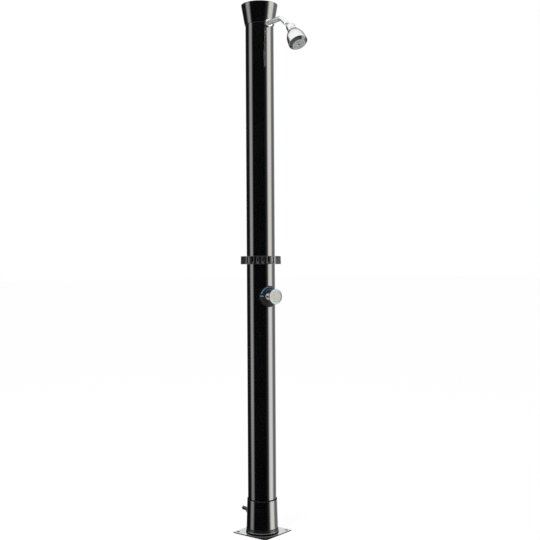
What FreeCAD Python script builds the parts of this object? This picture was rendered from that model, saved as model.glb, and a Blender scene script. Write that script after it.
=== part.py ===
import FreeCAD, Part

import math
import os

import Sketcher

# Outdoor solar shower post: a two-part black column that stores and warms water,
# on a square steel plate, with a mixer knob, a bent arm and a swivelling spray head.
# Millimetres and degrees. +Z is up, the floor is z = 0 under the middle of the plate,
# and the arm and the mixer face -Y. A size that out() reads counts from the column's surface.

SIZES = {
    # clearances
    "slip_gap": 0.3,
    "run_gap": 0.05,
    "face_gap": 0.1,
    # column
    "post_height": 2150,
    "tube_od": 116,
    "tube_wall": 3,
    "tube_foot": 10,
    "joint_height": 1111,
    # base plate
    "plate_side": 170,
    "plate_thick": 4,
    "plate_corner": 3,
    "plate_turn": 15,
    "bolt_circle": 198,
    "bolt_hole": 13,
    # base socket and its screws
    "socket_rise": 40,
    "socket_wall": 4.5,
    "socket_flange_step": 1,
    "screw_row": -13,
    "screw_boss": 14,
    "screw_boss_rise": 20,
    "plate_screw_od": 6,
    "plate_screw_head": 12,
    "plate_screw_reach": 22,
    "tube_screw_od": 4.2,
    "tube_screw_head": 8,
    "tube_screw_height": 34,
    # base cover
    "cover_height": 140,
    "cover_top_step": 3.25,
    "cover_low_step": 6.5,
    "cover_lip_step": 9,
    "cover_lip_rise": 5,
    "cover_flare_rise": 20,
    "cover_wall": 2.5,
    # water inlet at the rear
    "inlet_height": 70,
    "inlet_thread": 20.8,
    "inlet_bore": 12,
    "inlet_collar": 28,
    "inlet_nut_thick": 8,
    "connector_shoulder": 42,
    "connector_bore": 9,
    "nose_collar": 19,
    "nose_collar_thick": 4,
    "nose_od": 16,
    "nose_barrel": 20,
    "nose_groove": 3,
    "nose_tip": 78,
    # water pipes
    "pipe_od": 12,
    "pipe_bore": 9,
    "pipe_row": -26,
    "hot_offset": 24,
    "port_wall": 2.4,
    "port_depth": 14,
    "manifold_od": 18,
    "manifold_bore": 11,
    # tank floors and lids
    "disc_thick": 10,
    "disc_skirt": 12,
    "disc_skirt_wall": 4,
    "lower_floor_height": 110,
    "lower_lid_below_joint": 47,
    "upper_floor_above_joint": 41,
    "upper_lid_below_arm": 65,
    "hot_intake_gap": 18,
    # joint between the two halves
    "seal_thick": 2,
    "lower_collar_rise": 16,
    "collar_step": 13,
    "collar_bore_step": -8,
    "flange_step": 10.5,
    "flange_thick": 6,
    "flange_sleeve": 30,
    "slip_ring_thick": 1.8,
    "slip_ring_play": 1.3,
    "nut_height": 33,
    "nut_top_step": 23.4,
    "nut_low_step": 24.5,
    "nut_shoulder": 5,
    "nut_chamfer": 1.2,
    "grip_count": 24,
    "grip_groove": 8,
    "grip_depth": 3.2,
    "grip_rim": 2.4,
    "spigot_od": 16,
    "spigot_reach": 62,
    "spigot_socket_depth": 14,
    "ring_groove_depth": 1.7,
    "ring_groove_width": 2.2,
    "ring_groove_rise": 4,
    # mixer
    "mixer_below_joint": 148,
    "mixer_body_od": 36,
    "mixer_body_back": -46,
    "mixer_body_front": -15,
    "mixer_flange_od": 46,
    "mixer_flange_thick": 3,
    "mixer_neck_od": 24,
    "mixer_neck_end": 6,
    "cartridge_od": 20,
    "cartridge_back": -32,
    "cartridge_front": 1,
    "gland_end": 8,
    "gland_head_od": 16,
    "spindle_od": 8,
    "spindle_end": 28,
    "rosette_height": 86,
    "rosette_width": 78.8,
    "rosette_thick": 2,
    "lock_nut_od": 27.6,
    "lock_nut_thick": 3,
    "dome_od": 36,
    "dome_centre": 0,
    "dome_wall": 1.4,
    "knob_od": 62,
    "knob_front": 44,
    "knob_thick": 8,
    "knob_edge": 1.5,
    "knob_back_bevel": 5,
    "knob_dish": 0.8,
    "stem_od": 27,
    "stem_back": 11,
    "adapter_od": 12,
    "grub_od": 4,
    # shower arm
    "arm_below_top": 85,
    "arm_od": 21,
    "arm_wall": 1.5,
    "arm_start": 5,
    "arm_bend": 89,
    "arm_bend_radius": 40,
    "arm_droop": 40,
    "arm_to_ball": 81.6,
    "arm_thread": 20.6,
    "arm_spigot_end": 22,
    "arm_nut_flats": 30,
    "arm_nut_back": 3,
    "arm_nut_thick": 9,
    "elbow_flange_od": 28,
    "elbow_flange_thick": 3,
    "elbow_body_od": 20,
    "elbow_drop": 27,
    # swivel
    "ball_od": 27,
    "ball_neck": 12,
    "ball_bore": 7,
    "ball_collar_back": 21.5,
    "ball_collar_thick": 2,
    "ball_spigot": 15,
    "lip_angle": 50,
    "swivel_ring_thick": 1.45,
    "swivel_ring_half": 20,
    # spray head, measured along its own axis from the ball's centre
    "head_droop": 56.5,
    "ball_nut_od": 36,
    "ball_nut_back": 11,
    "ball_nut_front": 14,
    "ball_nut_mouth": 26,
    "neck_od": 32.4,
    "neck_start": 6,
    "neck_bore": 29.2,
    "seat_back": 8.8,
    "seat_front": 16,
    "seat_bore": 16,
    "web_thick": 2,
    "web_bore": 14,
    "bell_shoulder": 39,
    "bell_waist": 22.5,
    "bell_waist_od": 45.4,
    "bell_waist_bend": 13,
    "bell_hip": 56.5,
    "bell_hip_od": 72.6,
    "bell_hip_bend": 62,
    "bell_rim": 79,
    "bell_rim_od": 76.4,
    "bell_wall": 2,
    "funnel_od": 18,
    "funnel_wall": 2.5,
    "funnel_flare": 57,
    "funnel_disc": 62,
    "funnel_end": 70,
    "jet_plate_thick": 2.2,
    "jet_plate_od": 67,
    "face_front": 88.6,
    "face_od": 54,
    "face_wall": 2.6,
    "face_flange_od": 62.6,
    "face_flange_back": 76,
    "face_flange_thick": 3.8,
    "nozzle_od": 2.4,
    "nozzle_rise": 1.1,
    "mat_thick": 1.6,
    "face_screw_od": 3.8,
    "face_screw_head": 7,
    # top cap
    "cap_height": 83,
    "cap_foot_step": 2.75,
    "cap_rim_step": 17,
    "cap_rim_drop": 4,
    "cap_edge": 2,
    "cap_lid": 2.8,
    "cap_wall": 2.45,
    "cap_tube_stop": 45,
    "cap_spigot": 17,
    "cap_spigot_wall": 2.5,
    "cap_rib_count": 8,
    "cap_rib": 2,
    "cap_notch": 37,
}

doc = FreeCAD.newDocument("shower_post")
sheet = doc.addObject("Spreadsheet::Sheet", "Sizes")
for row, (alias, number) in enumerate(SIZES.items(), start=1):
    sheet.set(f"A{row}", str(number))
    sheet.setAlias(f"A{row}", alias)
doc.recompute()

finished = []


class Size:
    """A number together with the spreadsheet formula that gives it."""

    def __init__(self, number, formula):
        self.number = float(number)
        self.formula = formula

    def __add__(self, other):
        other = as_size(other)
        return Size(self.number + other.number, f"({self.formula} + {other.formula})")

    def __sub__(self, other):
        other = as_size(other)
        return Size(self.number - other.number, f"({self.formula} - {other.formula})")

    def __rsub__(self, other):
        return as_size(other) - self

    def __mul__(self, other):
        other = as_size(other)
        return Size(self.number * other.number, f"({self.formula} * {other.formula})")

    def __truediv__(self, other):
        other = as_size(other)
        return Size(self.number / other.number, f"({self.formula} / {other.formula})")

    def __neg__(self):
        return Size(-self.number, f"(0 - {self.formula})")

    __radd__ = __add__
    __rmul__ = __mul__


def as_size(value):
    return value if isinstance(value, Size) else Size(value, repr(float(value)))


def size(alias):
    return Size(sheet.get(alias), f"Sizes.{alias}")


def root(value):
    return Size(math.sqrt(value.number), f"sqrt({value.formula})")


def sine(angle):
    return Size(math.sin(math.radians(angle.number)), f"sin({angle.formula} * 1 deg)")


def cosine(angle):
    return Size(math.cos(math.radians(angle.number)), f"cos({angle.formula} * 1 deg)")


def tangent(angle):
    return sine(angle) / cosine(angle)


def chord(radius, along):
    """The other coordinate of a point on a circle about the origin."""
    return root(radius * radius - along * along)


# ---------------------------------------------------------------- modelling helpers

def new_body(name):
    return doc.addObject("PartDesign::Body", name)


def finish(piece, name):
    """Give the finished piece its name and list it for writing."""
    piece.Label = name
    finished.append(piece)
    return piece


def origin_plane(body, role):
    return next(item for item in body.Origin.OriginFeatures if item.Role == role)


def new_sketch(body, role, offset=None):
    sketch = body.newObject("Sketcher::SketchObject", body.Name + "_sketch")
    sketch.AttachmentSupport = [(origin_plane(body, role), "")]
    sketch.MapMode = "FlatFace"
    if offset is not None:
        sketch.AttachmentOffset = FreeCAD.Placement(FreeCAD.Vector(0, 0, offset.number), FreeCAD.Rotation())
        sketch.setExpression("AttachmentOffset.Base.z", offset.formula)
    return sketch


def pin_point(sketch, element, end, x, y):
    """Hold one point of a sketch at two formulas."""
    for kind, value in (("DistanceX", x), ("DistanceY", y)):
        index = sketch.addConstraint(Sketcher.Constraint(kind, element, end, value.number))
        sketch.setExpression(f"Constraints[{index}]", value.formula)


def arc_between(start, end, radius, left):
    """A short arc; its centre lies left or right of the way from start to end."""
    chord_line = end - start
    middle = (start + end) * 0.5
    side = FreeCAD.Vector(-chord_line.y, chord_line.x, 0).normalize()
    height = math.sqrt(max(radius ** 2 - (chord_line.Length / 2) ** 2, 0))
    centre = middle + side * (height if left else -height)
    first, last = (start, end) if left else (end, start)
    angles = [math.atan2(point.y - centre.y, point.x - centre.x) for point in (first, last)]
    if angles[1] < angles[0]:
        angles[1] += 2 * math.pi
    return Part.ArcOfCircle(Part.Circle(centre, FreeCAD.Vector(0, 0, 1), radius), *angles)


def draw_outline(sketch, corners, closed=True):
    """Lines and arcs through corners (x, y) or (x, y, bend radius of the next stretch).

    A positive bend has its centre on the left of the way along, a negative one on the right."""
    corners = [tuple(as_size(value) for value in corner) for corner in corners]
    points = [FreeCAD.Vector(corner[0].number, corner[1].number, 0) for corner in corners]
    stretches = len(corners) if closed else len(corners) - 1
    ends = []
    for index in range(stretches):
        start, end = points[index], points[(index + 1) % len(points)]
        if len(corners[index]) == 3:
            bend = corners[index][2]
            left = bend.number > 0
            element = sketch.addGeometry(arc_between(start, end, abs(bend.number), left))
            rule = sketch.addConstraint(Sketcher.Constraint("Radius", element, abs(bend.number)))
            sketch.setExpression(f"Constraints[{rule}]", bend.formula if left else (-bend).formula)
            ends.append((element, 1, 2) if left else (element, 2, 1))
        else:
            ends.append((sketch.addGeometry(Part.LineSegment(start, end)), 1, 2))
    for index in range(stretches):
        element, first, _ = ends[index]
        pin_point(sketch, element, first, corners[index][0], corners[index][1])
        if closed or index > 0:
            before, _, last = ends[index - 1]
            sketch.addConstraint(Sketcher.Constraint("Coincident", before, last, element, first))
    if not closed:
        element, _, last = ends[-1]
        pin_point(sketch, element, last, corners[-1][0], corners[-1][1])


def draw_circle(sketch, x, y, radius):
    x, y, radius = as_size(x), as_size(y), as_size(radius)
    centre = FreeCAD.Vector(x.number, y.number, 0)
    element = sketch.addGeometry(Part.Circle(centre, FreeCAD.Vector(0, 0, 1), radius.number))
    pin_point(sketch, element, 3, x, y)
    rule = sketch.addConstraint(Sketcher.Constraint("Radius", element, radius.number))
    sketch.setExpression(f"Constraints[{rule}]", radius.formula)


def flip_corner(corner):
    """Swap radius and reach for a piece that lies along +Y; the mirror turns its bends over."""
    radius, reach, *bend = (as_size(value) for value in corner)
    return (reach, radius, *(-value for value in bend))


def turn_corner(corner):
    """Turn radius and reach for a piece that lies along -Y."""
    radius, reach, *bend = (as_size(value) for value in corner)
    return (-reach, radius, *bend)


def revolve(body, outline, facing="up", kind="PartDesign::Revolution"):
    """Turn an outline of (radius, distance along the axis) corners about its axis."""
    if facing == "up":
        sketch = new_sketch(body, "XZ_Plane")
        draw_outline(sketch, outline)
        axis = "V_Axis"
    else:
        sketch = new_sketch(body, "YZ_Plane")
        draw_outline(sketch, [(flip_corner if facing == "rear" else turn_corner)(c) for c in outline])
        axis = "H_Axis"
    feature = body.newObject(kind, body.Name + "_turned")
    feature.Profile = sketch
    feature.ReferenceAxis = (sketch, [axis])
    feature.Angle = 360
    return feature


def turned(name, outline, facing="up"):
    body = new_body(name)
    revolve(body, outline, facing)
    return body


def extrude(body, kind, sketch, length, backwards=False):
    feature = body.newObject(kind, body.Name + "_" + kind.split("::")[1].lower())
    feature.Profile = sketch
    feature.Length = as_size(length).number
    feature.setExpression("Length", as_size(length).formula)
    feature.Reversed = backwards
    return feature


def post_up(body, x, y, radius, foot, rise):
    """Add an upright round post."""
    sketch = new_sketch(body, "XY_Plane", as_size(foot))
    draw_circle(sketch, x, y, radius)
    return extrude(body, "PartDesign::Pad", sketch, rise)


def cut(body, sketch, length, backwards=False):
    """Pocket a sketch and make sure that it took material away."""
    doc.recompute()
    before = body.Shape.Volume
    feature = extrude(body, "PartDesign::Pocket", sketch, length, backwards)
    doc.recompute()
    if body.Shape.Volume > before - 0.1:
        raise RuntimeError(f"{body.Name}: a cut missed the solid")
    return feature


def bore_up(body, x, y, radius, foot, rise):
    """Bore an upright round hole from a height upwards."""
    sketch = new_sketch(body, "XY_Plane", as_size(foot))
    draw_circle(sketch, x, y, radius)
    return cut(body, sketch, rise, backwards=True)


def bore_side(body, height, radius, facing, depth=None):
    """Bore a round hole through the front or the rear wall, square to the axis."""
    sketch = new_sketch(body, "XZ_Plane")
    draw_circle(sketch, 0, height, radius)
    return cut(body, sketch, depth or tube_r * 2, backwards=(facing == "front"))


def around(body, feature, count):
    """Repeat a feature evenly about the body's Z axis."""
    pattern = body.newObject("PartDesign::PolarPattern", body.Name + "_pattern")
    pattern.Originals = [feature]
    pattern.Axis = (feature.Profile[0], ["N_Axis"])
    pattern.Angle = 360
    pattern.Occurrences = int(as_size(count).number)
    if isinstance(count, Size):
        pattern.setExpression("Occurrences", count.formula)
    body.Tip = pattern
    return pattern


def place(piece, x=0, y=0, z=0, turn=None, about=(0, 0, 1)):
    """Put a piece at (x, y, z), turned by an angle about one axis."""
    x, y, z = as_size(x), as_size(y), as_size(z)
    rotation = FreeCAD.Rotation()
    if turn is not None:
        rotation = FreeCAD.Rotation(FreeCAD.Vector(*about), turn.number)
    piece.Placement = FreeCAD.Placement(FreeCAD.Vector(x.number, y.number, z.number), rotation)
    for letter, value in (("x", x), ("y", y), ("z", z)):
        piece.setExpression(f"Placement.Base.{letter}", value.formula)
    if turn is not None:
        piece.setExpression("Placement.Rotation.Angle", turn.formula)
    return piece


def primitive(kind, name, **sizes):
    item = doc.addObject(kind, name)
    for prop, value in sizes.items():
        value = as_size(value)
        setattr(item, prop, value.number)
        item.setExpression(prop, value.formula)
    return item


def round_bar(name, radius, length, x=0, y=0, z=0, turn=None, about=(1, 0, 0)):
    bar = primitive("Part::Cylinder", name, Radius=radius, Height=length)
    return place(bar, x, y, z, turn, about)


def combine(kind, name, base, tool):
    result = doc.addObject(kind, name)
    result.Base = base
    result.Tool = tool
    return result


def group(name, shapes):
    """Loose solids that share one node."""
    piece = doc.addObject("Part::Feature", name)
    piece.Shape = Part.makeCompound(shapes)
    return finish(piece, name)


# ---------------------------------------------------------------- shared measures

slip_gap = size("slip_gap")
run_gap = size("run_gap")
face_gap = size("face_gap")
tube_r = size("tube_od") / 2
tube_bore = tube_r - size("tube_wall")
plug_r = tube_bore - slip_gap
plate_top = size("plate_thick")


def out(name):
    """Distance from the column's axis of a size that counts from the column's surface."""
    return tube_r + size(name)


pipe_r = size("pipe_od") / 2
pipe_fit = pipe_r + face_gap
port_r = pipe_fit + size("port_wall")
port_depth = size("port_depth")
pipe_row = out("pipe_row")
hot_x = -size("hot_offset")
mixer_height = size("joint_height") - size("mixer_below_joint")
lower_lid_height = size("joint_height") - size("lower_lid_below_joint")
upper_floor_height = size("joint_height") + size("upper_floor_above_joint")
arm_height = size("post_height") - size("arm_below_top")
upper_lid_height = arm_height - size("upper_lid_below_arm")
cap_foot = size("post_height") - size("cap_height")
quarter = Size(90, "90")


# ---------------------------------------------------------------- base

def base_plate():
    """Square polished plate with a bolt hole in each corner and four countersunk holes."""
    body = new_body("plate_blank")
    half = size("plate_side") / 2
    round_r = size("plate_corner")
    flat = half - round_r
    sketch = new_sketch(body, "XY_Plane")
    draw_outline(sketch, [
        (half, -flat), (half, flat, round_r), (flat, half), (-flat, half, round_r),
        (-half, flat), (-half, -flat, round_r), (-flat, -half), (flat, -half, round_r)])
    extrude(body, "PartDesign::Pad", sketch, plate_top)
    corner = size("bolt_circle") / 2 * sine(quarter / 2)
    hole = bore_up(body, corner, corner, size("bolt_hole") / 2, 0, plate_top)
    around(body, hole, 4)
    head_r = size("plate_screw_head") / 2 + face_gap
    shank_r = size("plate_screw_od") / 2 + face_gap
    sink = head_r - shank_r
    seat = new_body("countersink")
    revolve(seat, [(0, 0 - face_gap), (head_r, 0 - face_gap), (head_r, 0), (shank_r, sink),
                   (shank_r, plate_top + 1), (0, plate_top + 1)])
    place(seat, out("screw_row"))
    tools = [seat]
    for step in (1, 2, 3):
        copy = doc.addObject("Part::Feature", "countersink_copy")
        doc.recompute()
        copy.Shape = seat.Shape
        copy.Placement = FreeCAD.Placement(
            FreeCAD.Vector(0, 0, 0), FreeCAD.Rotation(FreeCAD.Vector(0, 0, 1), 90 * step)) * seat.Placement
        tools.append(copy)
    all_tools = doc.addObject("Part::MultiFuse", "countersinks")
    all_tools.Shapes = tools
    plate = combine("Part::Cut", "base_plate_cut", body, all_tools)
    place(plate, turn=size("plate_turn"))
    finish(plate, "base_plate")


def base_socket():
    """Cast foot that stands on the plate and reaches up inside the column."""
    inner = plug_r - size("socket_wall")
    seat = size("tube_foot")
    body = turned("base_socket", [
        (inner, plate_top), (out("socket_flange_step"), plate_top), (out("socket_flange_step"), seat),
        (plug_r, seat), (plug_r, seat + size("socket_rise")), (inner, seat + size("socket_rise"))])
    reach = out("screw_row")
    boss = post_up(body, reach, 0, size("screw_boss") / 2, plate_top, size("screw_boss_rise"))
    around(body, boss, 4)
    hole = bore_up(body, reach, 0, size("plate_screw_od") / 2 + face_gap, plate_top,
                   size("plate_screw_reach") - plate_top + 1)
    around(body, hole, 4)
    sketch = new_sketch(body, "XZ_Plane")
    draw_circle(sketch, 0, size("tube_screw_height"), size("tube_screw_od") / 2 + face_gap)
    side_hole = cut(body, sketch, tube_r)
    pattern = body.newObject("PartDesign::PolarPattern", "side_holes")
    pattern.Originals = [side_hole]
    pattern.Axis = (origin_axis(body), [""])
    pattern.Angle = 360
    pattern.Occurrences = 4
    body.Tip = pattern
    place(body, turn=size("plate_turn") + quarter / 2)
    finish(body, "base_socket")


def origin_axis(body):
    return next(item for item in body.Origin.OriginFeatures if item.Role == "Z_Axis")


def plate_screws():
    """Four countersunk screws from under the plate into the socket's bosses."""
    head_r = size("plate_screw_head") / 2
    shank_r = size("plate_screw_od") / 2
    first = turned("plate_screw", [
        (0, face_gap), (head_r, face_gap), (shank_r, face_gap + head_r - shank_r),
        (shank_r, size("plate_screw_reach")), (0, size("plate_screw_reach"))])
    place(first, out("screw_row"))
    ring_of(first, "plate_screws", 4, size("plate_turn"))


def ring_of(first, name, count, start):
    """Copies of one piece, evenly about the column's axis."""
    doc.recompute()
    shapes = []
    for step in range(count):
        shape = first.Shape.copy()
        shape.rotate(FreeCAD.Vector(), FreeCAD.Vector(0, 0, 1), start.number + 360 * step / count)
        shapes.append(shape)
    group(name, shapes)


def tube_screws():
    """Four button-head screws that hold the column on the socket."""
    head_r = size("tube_screw_head") / 2
    shank_r = size("tube_screw_od") / 2
    under = tube_r + face_gap
    first = turned("tube_screw", [
        (0, plug_r - size("socket_wall") + 1), (shank_r, plug_r - size("socket_wall") + 1),
        (shank_r, under), (head_r, under), (head_r - 0.6, under + 1.7), (0, under + 1.7)], "rear")
    place(first, z=size("tube_screw_height"))
    ring_of(first, "tube_screws", 4, size("plate_turn") + quarter / 2)


def base_cover():
    """Tapered sleeve with a flared foot that hides the column's fixing."""
    top = size("cover_height")
    top_r = out("cover_top_step")
    low_r = out("cover_low_step")
    lip_r = out("cover_lip_step")
    lip_z = plate_top + size("cover_lip_rise")
    flare_z = plate_top + size("cover_flare_rise")
    wall = size("cover_wall")
    inner_top = tube_r + slip_gap
    body = turned("base_cover", [
        (low_r - wall, plate_top), (lip_r, plate_top), (lip_r, lip_z, 3.0), (lip_r - 1.5, lip_z + 1.5),
        (low_r, flare_z), (top_r, top - 1), (top_r - 1, top), (inner_top, top)])
    bore_side(body, size("inlet_height"), size("inlet_collar") / 2 + slip_gap, "rear")
    finish(body, "base_cover")


# ---------------------------------------------------------------- column tubes

def lower_tube():
    top = size("joint_height") - size("flange_thick")
    body = turned("tube_blank", [(tube_bore, size("tube_foot")), (tube_r, size("tube_foot")),
                                 (tube_r, top), (tube_bore, top)])
    bore_side(body, size("inlet_height"), size("inlet_thread") / 2 + slip_gap, "rear")
    bore_side(body, mixer_height, size("mixer_neck_od") / 2 + slip_gap, "front")
    return body


def lower_tube_screw_holes(body):
    """Four clearance holes for the screws into the socket, as the socket has them."""
    for step in range(4):
        turn = size("plate_turn") + quarter / 2 + quarter * step
        hole = round_bar("tube_hole", size("tube_screw_od") / 2 + face_gap, tube_r * 2)
        place(hole, z=size("tube_screw_height"), turn=quarter, about=(1, 0, 0))
        doc.recompute()
        spin = FreeCAD.Rotation(FreeCAD.Vector(0, 0, 1), turn.number)
        hole.Placement = FreeCAD.Placement(FreeCAD.Vector(), spin) * hole.Placement
        hole.setExpression("Placement.Rotation.Angle", None)
        body = combine("Part::Cut", "lower_tube_cut", body, hole)
    finish(body, "lower_tube")


def upper_tube():
    foot = upper_flange_top()
    top = size("post_height") - size("cap_tube_stop")
    body = turned("upper_tube", [(tube_bore, foot), (tube_r, foot), (tube_r, top), (tube_bore, top)])
    bore_side(body, arm_height, size("arm_thread") / 2 + slip_gap, "front")
    finish(body, "upper_tube")


def upper_flange_top():
    return size("joint_height") + size("seal_thick") + size("flange_thick")


# ---------------------------------------------------------------- tank floors and lids

def tank_disc(name, height, skirt_up):
    """Round wall across the column, with a skirt that is bonded to the tube."""
    top = height + size("disc_thick")
    skirt_r = plug_r - size("disc_skirt_wall")
    if skirt_up:
        return turned(name, [(0, height), (plug_r, height), (plug_r, top + size("disc_skirt")),
                             (skirt_r, top + size("disc_skirt")), (skirt_r, top), (0, top)])
    return turned(name, [(0, height), (skirt_r, height), (skirt_r, height - size("disc_skirt")),
                         (plug_r, height - size("disc_skirt")), (plug_r, top), (0, top)])


def lower_tank_floor():
    height = size("lower_floor_height")
    body = tank_disc("lower_tank_floor", height, True)
    for y in (as_size(0), -pipe_row):
        bore_up(body, 0, y, pipe_fit, height - 1, size("disc_thick") + 2)
    finish(body, "lower_tank_floor")


def joint_lines():
    """The three water lines that cross the joint: tank link, riser and hot return."""
    return [(as_size(0), as_size(0)), (as_size(0), -pipe_row), (hot_x, -pipe_row)]


def lower_tank_lid():
    """Lid of the lower tank, with three sockets for the upper half's spigots."""
    height = lower_lid_height
    body = tank_disc("lower_tank_lid", height, False)
    socket_r = size("spigot_od") / 2 + face_gap
    mouth = spigot_foot() + size("spigot_socket_depth")
    for x, y in joint_lines():
        post_up(body, x, y, socket_r + 2, height, mouth - height)
        bore_up(body, x, y, pipe_fit, height - 1, mouth - height + 2)
        bore_up(body, x, y, socket_r, spigot_foot() - face_gap, mouth - spigot_foot() + 1)
    finish(body, "lower_tank_lid")


def spigot_foot():
    return upper_floor_height - size("spigot_reach")


def upper_tank_floor():
    """Floor of the upper tank, with three spigots down and two pipe sockets up."""
    height = upper_floor_height
    body = tank_disc("upper_tank_floor", height, True)
    spigot_r = size("spigot_od") / 2
    foot = spigot_foot()
    groove = foot + size("ring_groove_rise")
    for x, y in joint_lines():
        post_up(body, x, y, spigot_r, foot, size("spigot_reach"))
        bore_up(body, x, y, size("pipe_bore") / 2, foot - 1, size("spigot_reach") + size("disc_thick") + 2)
        sketch = new_sketch(body, "XY_Plane", groove)
        draw_circle(sketch, x, y, spigot_r + 1)
        draw_circle(sketch, x, y, spigot_r - size("ring_groove_depth"))
        cut(body, sketch, size("ring_groove_width"), backwards=True)
    top = height + size("disc_thick")
    for x, y in joint_lines()[1:]:
        post_up(body, x, y, port_r, top - 1, port_depth)
        bore_up(body, x, y, pipe_fit, top - 2, port_depth + 2)
    finish(body, "upper_tank_floor")


def spigot_o_rings():
    """One rubber ring in each spigot's groove."""
    doc.recompute()
    depth = size("ring_groove_depth").number
    section = depth / 2 + 0.02
    radius = size("spigot_od").number / 2 - depth + section + 0.05
    height = (spigot_foot() + size("ring_groove_rise") + size("ring_groove_width") / 2).number
    rings = []
    for x, y in joint_lines():
        rings.append(Part.makeTorus(radius, section, FreeCAD.Vector(x.number, y.number, height)))
    group("spigot_o_rings", rings)


def upper_tank_lid():
    height = upper_lid_height
    body = tank_disc("upper_tank_lid", height, False)
    bore_up(body, 0, -pipe_row, pipe_fit, height - 1, size("disc_thick") + 2)
    finish(body, "upper_tank_lid")


# ---------------------------------------------------------------- pipes

def pipe(name, x, y, foot, top):
    inner = size("pipe_bore") / 2
    body = turned(name, [(inner, 0), (pipe_r, 0), (pipe_r, top - foot), (inner, top - foot)])
    place(body, x, y, foot)
    finish(body, name)


def pipes():
    """Rigid pipes between the manifold, the tanks, the mixer and the arm."""
    manifold_seat = size("inlet_height") + size("manifold_od") / 2
    floor_top = size("lower_floor_height") + size("disc_thick")
    mixer_low = mixer_height - size("mixer_body_od") / 2
    mixer_top = mixer_height + size("mixer_body_od") / 2
    lower_end = spigot_foot() - face_gap * 4
    upper_start = upper_floor_height + size("disc_thick") - 1
    pipe("tank_feed_pipe", 0, 0, manifold_seat, floor_top + 4)
    pipe("cold_pipe", 0, -pipe_row, manifold_seat, mixer_low)
    pipe("riser_pipe_lower", 0, -pipe_row, mixer_top, lower_end)
    pipe("hot_pipe_lower", hot_x, -pipe_row, mixer_top, lower_end)
    elbow_seat = arm_height - size("elbow_body_od") / 2
    pipe("riser_pipe_upper", 0, -pipe_row, upper_start, elbow_seat)
    pipe("hot_pipe_upper", hot_x, -pipe_row, upper_start, upper_lid_height - size("hot_intake_gap"))


# ---------------------------------------------------------------- inlet

def inlet_pieces():
    """Bulkhead fitting, gaskets, lock nut and hose connector at the rear of the foot."""
    thread_r = size("inlet_thread") / 2
    collar_r = size("inlet_collar") / 2
    bore_r = size("inlet_bore") / 2
    spigot_r = size("manifold_od") / 2
    flange_front = tube_bore - 4
    flange_back = flange_front - 3
    inner_end = flange_back - 12
    nut_back = tube_r + 3
    nut_front = nut_back + size("inlet_nut_thick")
    thread_end = nut_front + 15
    socket_end = inner_end + 10

    body = turned("inlet_bulkhead", [
        (spigot_r + face_gap, inner_end), (spigot_r + 2.4, inner_end), (spigot_r + 2.4, flange_back),
        (collar_r, flange_back), (collar_r, flange_front), (thread_r, flange_front),
        (thread_r, thread_end), (bore_r, thread_end), (bore_r, socket_end),
        (spigot_r + face_gap, socket_end)], "rear")
    place(body, z=size("inlet_height"))
    finish(body, "inlet_bulkhead")

    saddle_gaskets("inlet_gaskets", size("inlet_height"), thread_r + face_gap * 2, collar_r,
                   flange_front, nut_back, "rear")

    body = turned("inlet_lock_nut", [
        (thread_r + face_gap, nut_back), (collar_r - 1, nut_back), (collar_r, nut_back + 1),
        (collar_r, nut_front - 1), (collar_r - 1, nut_front), (thread_r + face_gap, nut_front)], "rear")
    place(body, z=size("inlet_height"))
    finish(body, "inlet_lock_nut")

    start = nut_front + slip_gap
    seat = thread_end + 4
    shoulder = out("connector_shoulder")
    nose_r = size("nose_od") / 2
    collar_end = shoulder + size("nose_collar_thick")
    groove_start = collar_end + size("nose_barrel")
    groove_end = groove_start + size("nose_groove")
    tip = out("nose_tip")
    nose_bore = size("connector_bore") / 2
    body = turned("hose_connector", [
        (thread_r + face_gap, start), (collar_r, start), (collar_r, shoulder - 2), (collar_r - 2, shoulder),
        (size("nose_collar") / 2, shoulder), (size("nose_collar") / 2, collar_end), (nose_r, collar_end),
        (nose_r, groove_start), (nose_r - 1, groove_start), (nose_r - 1, groove_end),
        (nose_r, groove_end), (nose_r, tip - 1.5), (nose_r - 1.5, tip), (nose_bore, tip),
        (nose_bore, seat), (thread_r + face_gap, seat)], "rear")
    place(body, z=size("inlet_height"))
    finish(body, "hose_connector")

    body = turned("connector_washer", [
        (bore_r, thread_end + face_gap), (thread_r - face_gap, thread_end + face_gap),
        (thread_r - face_gap, seat - face_gap), (bore_r, seat - face_gap)], "rear")
    place(body, z=size("inlet_height"))
    finish(body, "connector_washer")

    ring = primitive("Part::Torus", "nose_o_ring", Radius1=nose_r - 0.43, Radius2=as_size(0.55))
    place(ring, 0, (groove_start + groove_end) / 2, size("inlet_height"), quarter, (1, 0, 0))
    finish(ring, "nose_o_ring")


def saddle_gaskets(name, height, inner, outer, inside_face, outside_face, facing):
    """Two rubber rings, cut to the tube's curve: one inside its wall and one outside."""
    inner, outer = as_size(inner), as_size(outer)
    sign = 1 if facing == "rear" else -1
    doc.recompute()
    axis = FreeCAD.Vector(0, sign, 0)
    length = (outside_face - inside_face).number
    start = FreeCAD.Vector(0, sign * inside_face.number, height.number)
    blank = Part.makeCylinder(outer.number, length, start, axis)
    blank = blank.cut(Part.makeCylinder(inner.number, length, start, axis))
    foot = FreeCAD.Vector(0, 0, (height - outer * 2).number)
    inside = Part.makeCylinder((tube_bore - face_gap).number, outer.number * 4, foot)
    outside = Part.makeCylinder((tube_r + face_gap).number, outer.number * 4, foot)
    group(name, blank.common(inside).Solids + blank.cut(outside).Solids)


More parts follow.
